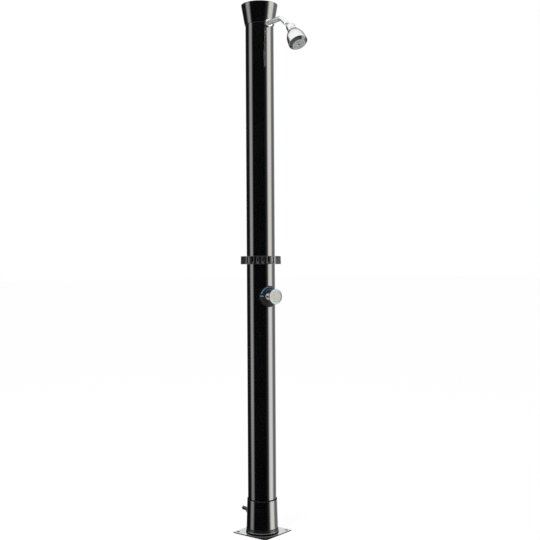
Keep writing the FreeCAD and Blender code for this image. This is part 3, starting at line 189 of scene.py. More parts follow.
def lathe(name, corners, place=UP, around=96, closed=True, shape=None, steps=5, fine=None):
    """Surface of revolution: a rounded outline carried round the axis.

    A point is (r cos t, r sin t, along). shape(r, along, t) may change radius and height
    round the way, as for flutes. An open outline starts and ends on the axis, where each end
    is one vertex. fine is a list of angles to use instead of even steps."""
    outline = rounded(corners, closed, steps)
    turn = full_turn(around) if fine is None else fine
    around = len(turn)
    radius, angle = np.meshgrid(outline[:, 0], turn, indexing="ij")
    along = np.repeat(outline[:, 1:2], around, 1)
    if shape is not None:
        radius, along = shape(radius, along, angle)
    points = np.stack([radius * np.cos(angle), radius * np.sin(angle), along], 2).reshape(-1, 3)
    rows = len(outline)
    quads = ring_quads(rows, around, rows if closed else rows - 1)
    if closed:
        return to_object(name, points, quads, place)
    first, last = np.arange(around), np.arange(around) + (rows - 1) * around
    inner = quads[(quads[:, 0] >= around) & (quads[:, 3] < (rows - 1) * around)]
    points = np.concatenate([points, [[0, 0, outline[0, 1]], [0, 0, outline[-1, 1]]]])
    top, end = len(points) - 2, len(points) - 1
    near = [(top, a + around, b + around) for a, b in zip(np.roll(first, -1), first)]
    far = [(end, a - around, b - around) for a, b in zip(last, np.roll(last, -1))]
    used = np.ones(len(points), bool)
    used[first] = used[last] = False
    number = np.cumsum(used) - 1
    faces = [tuple(number[list(face)]) for face in list(inner) + near + far]
    return to_object(name, points[used], faces, place)


def tube_along(name, path, radii):
    """A ring-shaped section carried along a flat path in the YZ plane.

    path holds (y, z, direction angle). radii is a closed list of section offsets, outer wall
    out and inner wall back, given as (radius, station along the path)."""
    around = 64
    turn = full_turn(around)
    side = np.array([1.0, 0, 0])
    rows = []
    for radius, station in radii:
        y, z, angle = path[station]
        up = np.array([0, -math.sin(angle), math.cos(angle)])
        around_path = np.cos(turn)[:, None] * side + np.sin(turn)[:, None] * up
        rows.append(np.array([0, y, z]) + radius * around_path)
    return to_object(name, np.concatenate(rows), ring_quads(len(rows), around, len(rows)))


def wrapped_patch(name, ring_in, ring_out, start, end, steps):
    """A thin mark between two shares of the rosette's ellipse and two clock angles.

    Angles are degrees clockwise from twelve o'clock, seen from the front. A point at (x, z)
    of the flat mark is put at y = -sqrt(reach^2 - x^2), so that it follows the column."""
    across, thick = 3, 0.12
    clock = np.radians(np.linspace(start, end, steps + 1))
    radius = np.linspace(ring_in, ring_out, across + 1)
    radius, clock = np.meshgrid(radius, clock, indexing="ij")
    x, z = ROSETTE_WIDE * radius * np.sin(clock), ROSETTE_TALL * radius * np.cos(clock)
    layers = []
    for reach in (ROSETTE_REACH, ROSETTE_REACH + thick):
        layers.append(np.stack([x, -np.sqrt(reach ** 2 - x ** 2), z + MIXER_Z], 2).reshape(-1, 3))
    rows, columns = across + 1, steps + 1
    count = rows * columns
    index = np.arange(count).reshape(rows, columns)
    quads = np.stack([index[:-1, :-1], index[1:, :-1], index[1:, 1:], index[:-1, 1:]], 2)
    quads = quads.reshape(-1, 4)
    edge = np.concatenate([index[0, :], index[1:, -1], index[-1, -2::-1], index[-2:0:-1, 0]])
    faces = [*quads[:, ::-1], *(quads + count)]
    faces += [(a, b, b + count, a + count) for a, b in zip(edge, np.roll(edge, -1))]
    return to_object(name, np.concatenate(layers), faces)


# ------------------------------------------------------------------ shader groups

# a colour Mix node's sockets by number, because several of them share one name
MIX_SHARE, MIX_COLOURS, MIX_RESULT = 0, (6, 7), 2


def new_group(name, inputs, outputs):
    """An empty shader group with named sockets, and its two end nodes."""
    group = bpy.data.node_groups.new(name, "ShaderNodeTree")
    for label, kind, default in inputs:
        socket = group.interface.new_socket(label, in_out="INPUT", socket_type=kind)
        if default is not None:
            socket.default_value = default
    for label, kind in outputs:
        group.interface.new_socket(label, in_out="OUTPUT", socket_type=kind)
    start = group.nodes.new("NodeGroupInput")
    end = group.nodes.new("NodeGroupOutput")
    return group, start, end


def feed(tree, socket, value):
    """Links a node's socket to another one, or sets it to a number or a colour."""
    if isinstance(value, bpy.types.NodeSocket):
        tree.links.new(value, socket)
    else:
        socket.default_value = value


def math_node(tree, operation, *values, clamp=False):
    """A Math node fed by sockets or numbers; gives its output socket."""
    node = tree.nodes.new("ShaderNodeMath")
    node.operation, node.use_clamp = operation, clamp
    for socket, value in zip(node.inputs, values):
        feed(tree, socket, value)
    return node.outputs[0]


def noise_node(tree, vector, scale, detail, rough=0.5):
    """A Noise node on a vector; its scale is a socket or a number."""
    node = tree.nodes.new("ShaderNodeTexNoise")
    for label, value in (("Vector", vector), ("Scale", scale), ("Detail", detail),
                         ("Roughness", rough)):
        feed(tree, node.inputs[label], value)
    return node.outputs["Fac"]


def colour_mix(tree, share, first, second):
    """A colour Mix node between two sockets; a number stands for a grey, three for a colour."""
    node = tree.nodes.new("ShaderNodeMix")
    node.data_type = "RGBA"
    feed(tree, node.inputs[MIX_SHARE], share)
    for index, value in zip(MIX_COLOURS, (first, second)):
        if isinstance(value, float):
            value = (value, value, value)
        feed(tree, node.inputs[index], (*value, 1) if isinstance(value, tuple) else value)
    return node.outputs[MIX_RESULT]


def handling_group():
    """Broad smears of handling, and fine grain, both from noise.

    Smear is low noise, stretched to 0..1 as 2.2 times noise less 0.6. Grain is high noise,
    for a bump's height."""
    stretch, shift = 2.2, -0.6
    group, start, end = new_group(
        "handling",
        [("Vector", "NodeSocketVector", None), ("Smear Scale", "NodeSocketFloat", 14.0),
         ("Grain Scale", "NodeSocketFloat", 900.0)],
        [("Smear", "NodeSocketFloat"), ("Grain", "NodeSocketFloat")])
    vector = start.outputs["Vector"]
    smear = noise_node(group, vector, start.outputs["Smear Scale"], detail=5.0, rough=0.62)
    smear = math_node(group, "MULTIPLY_ADD", smear, stretch, shift, clamp=True)
    group.links.new(smear, end.inputs["Smear"])
    grain = noise_node(group, vector, start.outputs["Grain Scale"], detail=2.0)
    group.links.new(grain, end.inputs["Grain"])
    return group


def spun_group():
    """Fine rings about an axis along Y, as a lathe or a polishing wheel leaves them.

    The distance from the axis is sqrt(x^2 + z^2) after centring; its sine gives the rings,
    broken up by a little noise."""
    group, start, end = new_group(
        "spun_rings",
        [("Vector", "NodeSocketVector", None), ("Pitch", "NodeSocketFloat", 0.0006)],
        [("Height", "NodeSocketFloat")])
    apart = group.nodes.new("ShaderNodeSeparateXYZ")
    group.links.new(start.outputs["Vector"], apart.inputs[0])
    squares = math_node(group, "ADD", math_node(group, "POWER", apart.outputs["X"], 2.0),
                        math_node(group, "POWER", apart.outputs["Z"], 2.0))
    distance = math_node(group, "SQRT", squares)
    wander = noise_node(group, start.outputs["Vector"], scale=60.0, detail=2.0)
    phase = math_node(group, "DIVIDE", distance, start.outputs["Pitch"])
    phase = math_node(group, "ADD", phase, wander)
    wave = math_node(group, "SINE", math_node(group, "MULTIPLY", phase, 2 * math.pi))
    group.links.new(math_node(group, "MULTIPLY_ADD", wave, 0.5, 0.5), end.inputs["Height"])
    return group


HANDLING = handling_group()
SPUN = spun_group()


# ------------------------------------------------------------------ materials

FINISHES = {}


def finish(name, colour, rough, metal=0.0, level=0.5, rim=1.0,
           coat=0.0, coat_rough=0.03, coat_ior=1.5, tint=None, smear=0.05, smear_scale=14.0,
           grain=0.0, grain_scale=900.0, grain_mm=0.01, centre=None, pitch=None, ring_mm=0.004):
    """A procedural finish: a colour that drifts to a tint in smears, roughness that follows
    the same smears, and a bump from grain, or from spun rings about a centre.

    level is how strongly a plastic mirrors, and rim how bright a metal's edges turn. Without
    a tint, the colour drifts to one that is a quarter lighter."""
    lighter, lift, smoothest = 1.25, 0.002, 0.02
    material = bpy.data.materials.new(name)
    material.use_nodes = True
    tree = material.node_tree
    shader = next(node for node in tree.nodes if node.type == "BSDF_PRINCIPLED")
    for label, value in (("Metallic", metal), ("Specular IOR Level", level),
                         ("Specular Tint", (rim, rim, rim, 1)), ("Coat Weight", coat),
                         ("Coat Roughness", coat_rough), ("Coat IOR", coat_ior)):
        feed(tree, shader.inputs[label], value)
    vector = tree.nodes.new("ShaderNodeTexCoord").outputs["Object"]
    marks = tree.nodes.new("ShaderNodeGroup")
    marks.node_tree = HANDLING
    for label, value in (("Vector", vector), ("Smear Scale", smear_scale),
                         ("Grain Scale", grain_scale)):
        feed(tree, marks.inputs[label], value)
    tint = tint or tuple(min(1.0, part * lighter + lift) for part in colour)
    drift = colour_mix(tree, marks.outputs["Smear"], colour, tint)
    tree.links.new(drift, shader.inputs["Base Color"])
    spread = tree.nodes.new("ShaderNodeMapRange")
    spread.inputs["To Min"].default_value = max(smoothest, rough - smear)
    spread.inputs["To Max"].default_value = min(1.0, rough + smear)
    tree.links.new(marks.outputs["Smear"], spread.inputs["Value"])
    tree.links.new(spread.outputs["Result"], shader.inputs["Roughness"])
    height, distance = marks.outputs["Grain"], grain_mm
    if centre is not None:
        move = tree.nodes.new("ShaderNodeMapping")
        move.inputs["Location"].default_value = tuple(-part * MM for part in centre)
        tree.links.new(vector, move.inputs["Vector"])
        rings = tree.nodes.new("ShaderNodeGroup")
        rings.node_tree = SPUN
        rings.inputs["Pitch"].default_value = pitch * MM
        tree.links.new(move.outputs["Vector"], rings.inputs["Vector"])
        height, distance = rings.outputs["Height"], ring_mm
    if grain > 0 or centre is not None:
        bump = tree.nodes.new("ShaderNodeBump")
        bump.inputs["Strength"].default_value = grain if centre is None else 1.0
        bump.inputs["Distance"].default_value = distance * MM
        tree.links.new(height, bump.inputs["Height"])
        tree.links.new(bump.outputs["Normal"], shader.inputs["Normal"])
    FINISHES[name] = material


finish("column_black", (0.0012, 0.0012, 0.0014), 0.10, coat=1.0, coat_rough=0.05, coat_ior=1.9,
       smear=0.03, smear_scale=5.0, grain=0.1, grain_scale=60.0)
finish("cap_black", (0.0014, 0.0014, 0.0016), 0.14, coat=1.0, coat_rough=0.06, coat_ior=1.9,
       smear=0.04, smear_scale=9.0, grain=0.1, grain_scale=80.0)
finish("cover_black", (0.0014, 0.0014, 0.0015), 0.14, coat=1.0, coat_rough=0.06, coat_ior=1.9,
       smear_scale=9.0, grain=0.1, grain_scale=80.0)
finish("cover_foot", (0.0014, 0.0014, 0.0015), 0.40, level=0.25, coat=0.22, coat_rough=0.25,
       coat_ior=1.7, smear_scale=9.0, grain=0.1, grain_scale=80.0)
finish("ring_black", (0.0040, 0.0043, 0.0050), 0.17, level=1.0, smear=0.04, smear_scale=20.0,
       grain=0.15)
finish("rosette_black", (0.013, 0.014, 0.014), 0.50, level=0.13, smear_scale=30.0, grain=0.2,
       grain_scale=1800.0)
finish("scale_blue", (0.035, 0.22, 0.40), 0.40, level=0.3, grain=0.2, grain_scale=1500.0)
finish("scale_red", (0.38, 0.035, 0.085), 0.40, level=0.3, grain=0.2, grain_scale=1500.0)
finish("scale_white", (0.18, 0.25, 0.25), 0.40, level=0.3, grain=0.2, grain_scale=1500.0)
finish("bell_chrome", (0.90, 0.905, 0.91), 0.26, metal=1.0, rim=0.0, smear=0.02, smear_scale=30.0,
       tint=(0.87, 0.875, 0.88), grain=0.05, grain_scale=120.0)
finish("arm_chrome", (0.84, 0.845, 0.85), 0.22, metal=0.78, rim=0.85, smear=0.02,
       smear_scale=30.0, tint=(0.85, 0.855, 0.86), grain=0.05, grain_scale=120.0)
finish("knob_satin", (0.585, 0.60, 0.55), 0.50, level=0.22, smear_scale=25.0,
       tint=(0.60, 0.61, 0.565), centre=(0, 0, MIXER_Z), pitch=0.5, ring_mm=0.002)
# painted shade: the knob's rim and stem are about half as light as its satin face, so that the rim
# reads as shaded
finish("knob_rim_painted_shade", (0.29, 0.31, 0.31), 0.20, metal=0.35, level=0.15, smear=0.04,
       smear_scale=30.0)
finish("satin_chrome", (0.40, 0.395, 0.385), 0.24, metal=1.0, rim=0.4, smear_scale=40.0, grain=0.1)
finish("mirror_steel", (0.60, 0.61, 0.62), 0.08, metal=1.0, smear=0.03, smear_scale=16.0,
       tint=(0.55, 0.56, 0.575), grain=0.1, grain_scale=220.0)
# near-black cut edge: the cut edge's own dark tone, darkened further as painted shade in the bolt
# holes and along the plate's edge
finish("cut_edge_and_shade", (0.008, 0.008, 0.008), 0.6, level=0.04, rim=0.4, smear=0.08, smear_scale=50.0,
       grain=0.5, grain_mm=0.03)
finish("graphite_plastic", (0.020, 0.023, 0.024), 0.34, level=0.45, smear=0.06, smear_scale=40.0,
       grain=0.2, grain_scale=1600.0)
finish("smoked_ring", (0.010, 0.0105, 0.011), 0.18, level=0.95, smear_scale=40.0, grain=0.1,
       grain_scale=1600.0)
finish("face_grey", (0.47, 0.49, 0.49), 0.34, metal=0.55, smear_scale=40.0, grain=0.2,
       grain_scale=1600.0)
finish("nozzle_rubber", (0.10, 0.105, 0.105), 0.55, smear=0.06, grain=0.3, grain_scale=2200.0,
       grain_mm=0.02)
finish("shadow_black", (0.0015, 0.0015, 0.0015), 0.6, level=0.05, grain=0.1)
finish("fitting_black", (0.010, 0.010, 0.011), 0.26, smear=0.06, smear_scale=40.0, grain=0.2,
       grain_scale=1400.0)
finish("black_rubber", (0.012, 0.012, 0.012), 0.62, smear=0.08, smear_scale=50.0, grain=0.6,
       grain_scale=2200.0, grain_mm=0.03)
finish("cast_aluminium", (0.50, 0.51, 0.52), 0.48, metal=1.0, smear=0.1, smear_scale=30.0,
       grain=0.9, grain_scale=700.0, grain_mm=0.12)
finish("machined_brass", (0.72, 0.55, 0.27), 0.26, metal=1.0, smear=0.08, smear_scale=35.0,
       tint=(0.60, 0.44, 0.20), grain=0.4, grain_scale=1300.0, grain_mm=0.02)
finish("screw_steel", (0.60, 0.61, 0.63), 0.30, metal=1.0, smear=0.08, smear_scale=60.0,
       grain=0.4, grain_scale=1800.0, grain_mm=0.015)
finish("moulded_white", (0.72, 0.72, 0.70), 0.42, smear=0.06, smear_scale=30.0,
       tint=(0.66, 0.65, 0.61), grain=0.5, grain_scale=1500.0, grain_mm=0.02)
finish("tank_plastic", (0.035, 0.036, 0.040), 0.46, smear=0.08, smear_scale=22.0, grain=0.6,
       grain_scale=1200.0, grain_mm=0.03)
finish("pipe_grey", (0.22, 0.23, 0.24), 0.40, smear=0.07, smear_scale=18.0, grain=0.5,
       grain_scale=1200.0, grain_mm=0.02)


def wear(piece, body, slot, material, *nodes):
    """Gives a new piece its body and finish, and hides the CAD nodes that it stands for; slot is
    not used.
    """
    piece.data.materials.clear()
    piece.data.materials.append(FINISHES[material])
    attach(piece, body)
    if nodes:
        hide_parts(*nodes)


# ------------------------------------------------------------------ column

def bowed(start, end, radius, steps):
    """Points on an arc from start to end; its centre is left of the way for a positive radius.

    The centre is the middle of the chord plus a side step of sqrt(r^2 - (chord / 2)^2)."""
    start, end = np.array(start, float), np.array(end, float)
    chord = end - start
    length = np.linalg.norm(chord)
    side = np.array([-chord[1], chord[0]]) / length * math.copysign(1, radius)
    centre = (start + end) / 2 + side * math.sqrt(max(radius ** 2 - (length / 2) ** 2, 0))
    first, last = start - centre, end - centre
    sweep = math.atan2(first[0] * last[1] - first[1] * last[0], float(first @ last))
    return [tuple(point) for point in turned(first, np.linspace(0, sweep, steps + 1)) + centre]


def smooth(edge_low, edge_high, value):
    """0 below one edge, 1 above the other, and 3t^2 - 2t^3 between them."""
    t = np.clip((value - edge_low) / (edge_high - edge_low), 0, 1)
    return t * t * (3 - 2 * t)


def column_tubes():
    """Two plain tubes with eased ends."""
    ease = 0.4
    for name, node, low, high in (("lower_column", "lower_tube", 10.0, 1105.0),
                                  ("upper_column", "upper_tube", 1119.0, 2105.0)):
        tube = lathe(name, [(TUBE_BORE_R, low), (TUBE_R, low, ease), (TUBE_R, high, ease),
                            (TUBE_BORE_R, high)], around=192)
        wear(tube, "post", "black_tube", "column_black", node)


def flared_cap():
    """Cone that opens upwards to a flat lid, with a spigot inside it.

    Where |x| < 18.5 in front, the skirt's lower edge follows a circle about the arm's axis,
    z = 2065 + sqrt(18.5^2 - x^2), and slides up along the cone."""
    foot, edge, notch, slope = 2067.0, 3.0, 18.5, 0.17

    def lift(radius, along, angle):
        x, y = radius * np.cos(angle), radius * np.sin(angle)
        arch = ARM_Z + np.sqrt(np.clip(notch ** 2 - x ** 2, 0, None))
        skirt = (y < 0) & (along < foot + edge) & (radius > TUBE_R)
        rise = np.where(skirt, np.clip(arch - foot, 0, None), 0)
        return radius + rise * slope, along + rise

    # more points where the notch ends
    close = np.radians(np.linspace(15, 19, 17))
    angles = full_turn(192, np.concatenate([1.5 * np.pi - close, 1.5 * np.pi + close]))
    cap = lathe("flared_cap", [
        (0, 2147.2), (52.2, 2147.2, 0.5), (52.2, 2088), (54.7, 2088, 0.4), (54.7, 2105.1),
        (57.5, 2105.1), (57.5, 2147.2), (71.6, 2147.2, 0.5), (58.3, foot), (60.75, foot, 0.5),
        (74.2, 2143.0, 6), (75, 2146.5, 1.0), (75, 2150, 1.9), (0, 2150)],
        closed=False, shape=lift, fine=angles)
    wear(cap, "post", "black_plastic_gloss", "cap_black", "top_cap")


def foot_cover():
    """Sleeve that tapers upwards, with a lip on the plate; the lip and the top rim are a black that
    does not mirror, a painted shadow line, and the flare above the lip is dull."""
    lip_top, flare_low, flare_high, rim_low = 8.0, 11.5, 23.8, 136.5
    cover = lathe("foot_cover", [
        (62.0, PLATE_THICK), (67, PLATE_THICK, 0.5), (67, 8.6, 1.2), (65.6, 10.6, 2.0),
        (64.5, 24, 8), (61.35, 136.4, 0.2), (60.5, 137.0), (60.4, 139.9, 0.2), (60.0, 140.0),
        (58.4, 138.6)], around=192)
    wear(cover, "post", "black_plastic_gloss", "cover_black", "base_cover")
    height = of_faces(cover.data, "center")[:, 2] / MM
    # painted shadow: the top rim and the lip get shadow_black, a black that does not mirror,
    # standing for shade in the gap at the top and on the flange under the lip
    shadow_band = (height > rim_low) | (height < lip_top)
    dull = (height > flare_low) & (height < flare_high)
    for extra in ("shadow_black", "cover_foot"):
        cover.data.materials.append(FINISHES[extra])
    cover.data.polygons.foreach_set("material_index", np.where(dull, 2, shadow_band).astype(np.int32))


def ring_nut():
    """Ring nut with 24 finger grooves between two plain rims.

    The radius loses depth * groove(t) * window(z): groove is 1 across each groove's floor and
    falls to 0 on its flanks, and window is 1 between the rims."""
    depth, count, half, around_each = 3.2, 24, math.radians(2.9), 24
    flank_out, flank_in = 0.014, 0.012
    groove_low, groove_high, fade, bore = 1095.2, 1123.8, 1.0, 79
    wide, foot, narrowing, rise = 82.5, 1093.6, 1.1, 31.2

    def grooves(radius, along, angle):
        pitch = 2 * np.pi / count
        offset = np.abs((angle - 1.5 * np.pi + pitch / 2) % pitch - pitch / 2)
        groove = 1 - smooth(half - flank_out, half + flank_in, offset)
        window = smooth(groove_low, groove_low + fade, along)
        window = window * (1 - smooth(groove_high - fade, groove_high, along))
        return radius - depth * groove * window * (radius > bore), along

    side = [(wide - (z - foot) * narrowing / rise, z) for z in
            (1095.0, 1095.35, 1095.7, 1096.05, 1096.4, 1122.6, 1122.95, 1123.3, 1123.65, 1124.0)]
    nut = lathe("ring_nut", [
        (71.1, 1093, 0.3), (82.3, 1093, 0.7), *side, (81.35, 1125.2, 0.6), (80.5, 1126, 0.5),
        (59.4, 1126, 0.6), (59.4, 1121), (71.1, 1121)], around=count * around_each, shape=grooves)
    wear(nut, "coupling_nut", "black_ring_plastic", "ring_black", "coupling_nut")


def foot_plate():
    """Square plate with rounded corners and four holes, as a filled flat outline with a depth.

    The outline is pulled in by the bevel, so that the bevelled edge ends on the real side. The
    bevelled edge and the holes' walls get a near-black cut-edge finish, partly the cut edge's own
    dark tone and partly painted shade for the holes' depth and under the plate's edge."""
    side, corner, bevel, level = 170.0, 3.0, 0.5, 0.999
    bolt_circle, hole = 99.0, 6.5 + bevel
    quarters = ((1, 1), (-1, 1), (-1, -1), (1, -1))
    curve = bpy.data.curves.new("foot_plate", "CURVE")
    curve.dimensions, curve.fill_mode = "2D", "BOTH"
    curve.extrude, curve.bevel_depth = (PLATE_THICK / 2 - bevel) * MM, bevel * MM
    curve.bevel_resolution = 3

    def arc(x, y, radius, angles):
        return np.stack([x + radius * np.cos(angles), y + radius * np.sin(angles)], 1)

    inner = side / 2 - bevel - corner
    quarter_turn = np.linspace(0, np.pi / 2, 7)
    loops = [np.concatenate([arc(cx * inner, cy * inner, corner, quarter_turn + k * np.pi / 2)
                             for k, (cx, cy) in enumerate(quarters)])]
    at = bolt_circle / math.sqrt(2)
    loops += [arc(cx * at, cy * at, hole, -full_turn(40)) for cx, cy in quarters]
    for loop in loops:
        spline = curve.splines.new("POLY")
        spline.points.add(len(loop) - 1)
        flat = np.concatenate([loop * MM, np.zeros((len(loop), 1)), np.ones((len(loop), 1))], 1)
        spline.points.foreach_set("co", flat.ravel())
        spline.use_cyclic_u = True
    holder = put("foot_plate_curve", curve)
    mesh = bpy.data.meshes.new_from_object(holder)
    bpy.data.objects.remove(holder)
    points = np.zeros(len(mesh.vertices) * 3)
    mesh.vertices.foreach_get("co", points)
    c, s = math.cos(math.radians(PLATE_TURN)), math.sin(math.radians(PLATE_TURN))
    points = points.reshape(-1, 3) @ np.array([[c, s, 0], [-s, c, 0], [0, 0, 1]])
    mesh.vertices.foreach_set("co", (points + [0, 0, PLATE_THICK / 2 * MM]).ravel())
    mesh.update()
    plate = put("foot_plate", mesh)
    edge = np.abs(of_faces(mesh, "normal")[:, 2]) < level
    mesh.polygons.foreach_set("use_smooth", edge)
    wear(plate, "post", "polished_steel", "mirror_steel", "base_plate")
    # edge and hole walls: near-black, partly painted shade
    mesh.materials.append(FINISHES["cut_edge_and_shade"])
    mesh.polygons.foreach_set("material_index", edge.astype(np.int32))


# ------------------------------------------------------------------ mixer

def mixer_front():
    """Curved rosette with its printed scale, and the chrome dome on it."""
    hole, tall, wide, rear = 12.3, ROSETTE_TALL, ROSETTE_WIDE, 58.15

    def wrap(radius, along, angle):
        """Stretch the round outline to the rosette's ellipse and lay it on the column.

        Between the hole and the rim the radius is scaled to the ellipse's own, and a point at
        x is pulled back to sqrt(reach^2 - x^2)."""
        rim = 1 / np.sqrt((np.cos(angle) / wide) ** 2 + (np.sin(angle) / tall) ** 2)
        radius = hole + (radius - hole) * (rim - hole) / (tall - hole)
        return radius, np.sqrt(along ** 2 - (radius * np.cos(angle)) ** 2)

    rosette = lathe("rosette_cover", [
        (hole, rear), (tall, rear, 0.2), (tall, ROSETTE_REACH, 1.2),
        *[(radius, ROSETTE_REACH) for radius in (36, 28, 20, hole)]],
        forward(MIXER_Z), 128, shape=wrap)
    wear(rosette, "post", "black_ring_plastic", "rosette_black", "rosette")

    def row_of_marks(name, reds, low, high, first, step, wide_each):
        """Marks of one row: name, finish, two shares of the ellipse and two clock angles."""
        return [(f"{name}_{n}", "scale_red" if red else "scale_blue", low, high,
                 first + step * n, first + wide_each + step * n) for n, red in enumerate(reds)]

    marks = [("scale_cold", "scale_blue", 0.87, 0.945, -73, -20)]
    marks += row_of_marks("scale_warm", [0, 1] * 4, 0.84, 0.94, -19, 12, 7)
    marks += row_of_marks("scale_dot", [0] * 4 + [1] * 3, 0.61, 0.68, -41, 15, 6)
    marks += [("scale_off", "scale_white", 0.68, 0.98, -90.5, -84.5)]
    fewest, degrees_each = 4, 2.5
    for name, paint, low, high, start, end in marks:
        steps = max(fewest, int((end - start) / degrees_each))
        mark = wrapped_patch(name, low, high, start, end, steps)
        wear(mark, "post", "black_ring_plastic", paint)

    centre, outer, inner, mouth = TUBE_R, 18.0, 16.6, 13.8
    widening, low, high, clear = 0.11, 1.0, 9.0, 0.1

    def ball(radius, start, end, count):
        angle = np.linspace(math.acos(start / radius), math.acos(end / radius), count)
        return [(radius * math.cos(a), centre + radius * math.sin(a)) for a in angle]

    def seated(radius, along, angle):
        """The dome's foot is up to a tenth wider sideways, by the share of the way to its mouth,
        and nothing of it reaches behind the rosette's face at sqrt(60.1^2 - x^2)."""
        foot = 1 - smooth(centre + low, centre + high, along)
        radius = radius * (1 + widening * np.cos(angle) ** 2 * foot)
        seat = np.sqrt((ROSETTE_REACH + clear) ** 2 - (radius * np.cos(angle)) ** 2)
        return radius, np.maximum(along, seat)

    dome = lathe("mixer_dome_shell", [
        (outer, 57.0), *ball(outer, outer, mouth, 24), *ball(inner, mouth, inner, 16)],
        forward(MIXER_Z), shape=seated)
    wear(dome, "post", "chrome", "satin_chrome", "mixer_dome")


def knob():
    """Disc knob: a rim and stem with one index notch, in the face's grey darkened to about half as
    painted shade, and a satin face inside the rim.
    """
    notch_floor, notch_half = 29.0, 0.85

    def notch(radius, along, angle):
        across = np.abs(radius * np.sin(angle))
        inside = (np.cos(angle) < 0) & (across < notch_half) & (radius > notch_floor)
        return np.where(inside, notch_floor, radius), along

    # more points at the notch
    angles = full_turn(128, np.pi + np.radians(np.linspace(-3, 3, 25)))
    rim = lathe("knob_rim", [
        (0, 87), (6.05, 87), (6.05, 69), (13.5, 69, 0.6), (13.5, 94, 1.5), (26, 94, 1.2),
        (31, 99, 1.0), (31, 101.2, 0.7), (30.2, 102.0, 0.3), (23.6, 100.9, 0.1), (23.0, 100.3),
        (0, 100.3)],
        forward(MIXER_Z), closed=False, shape=notch, fine=angles, steps=7)
    wear(rim, "knob", "satin_knob", "knob_rim_painted_shade", "mixer_knob")
    face = lathe("knob_face", [
        (0, 100.3), (23.4, 100.3), (23.4, 100.85, 0.1), (20, 101.0, 12), (12, 101.05), (0, 101.05)],
        forward(MIXER_Z), 128, closed=False)
    wear(face, "knob", "satin_knob", "knob_satin", "mixer_knob")


# ------------------------------------------------------------------ arm and head

def bent_arm():
    """Chrome tube: straight, an even bend of 40 degrees, and straight to the ball's collar."""
    bend_radius, wall, outside, ease = 40.0, 1.5, 10.5, 0.4
    root, ball_to_collar = 63.0, 21.5
    droop = math.radians(ARM_DROOP)
    step = bend_radius * math.tan(droop / 2)
    length = BEND_TO_BALL - ball_to_collar
    path = [(-y, ARM_Z, 0.0) for y in np.linspace(root, BEND_REACH - step, 4)]
    for turn in np.linspace(0, droop, 25)[1:]:
        path.append((-(BEND_REACH - step) - bend_radius * math.sin(turn),
                     ARM_Z - bend_radius * (1 - math.cos(turn)), turn))
    y, z, _ = path[-1]
    for part in (0.5, 1.0):
        run = (length - step) * part
        path.append((y - run * math.cos(droop), z - run * math.sin(droop), droop))
    stations = range(len(path))
    ring = [(outside - ease, 0), *[(outside, k) for k in stations], (outside - ease, len(path) - 1),
            *[(outside - wall, k) for k in reversed(stations)]]
    wear(tube_along("bent_arm", path, ring), "post", "chrome", "arm_chrome", "shower_arm")


def hexagon_nut():
    """Hexagon nut on the arm, its corners cut back by a cone at the front.

    The radius is the flats' half width over the largest cosine to a flat, as a high power
    mean, which rounds the corners a little, and never more than the chamfer's own radius."""
    flats, power, bore = 15.0, 60, 12

    def hexagon(radius, along, angle):
        total = sum(np.abs(np.cos(angle - k * np.pi / 3)) ** power for k in range(3))
        outer = flats / total ** (1 / power)
        return np.where(radius > bore, np.minimum(radius, outer), radius), along

    front = [(17.6 - 3.2 * t, 67.4 + 2.6 * t) for t in np.linspace(0, 1, 9)]
    nut = lathe("arm_hexagon", [
        (10.6, 61, 0.2), (16.6, 61.0), (17.6, 61.8), *front, (12.4, 70.0, 0.3), (10.6, 69.2, 0.2)],
        forward(ARM_Z), 180, shape=hexagon)
    wear(nut, "post", "chrome", "arm_chrome", "arm_nut")


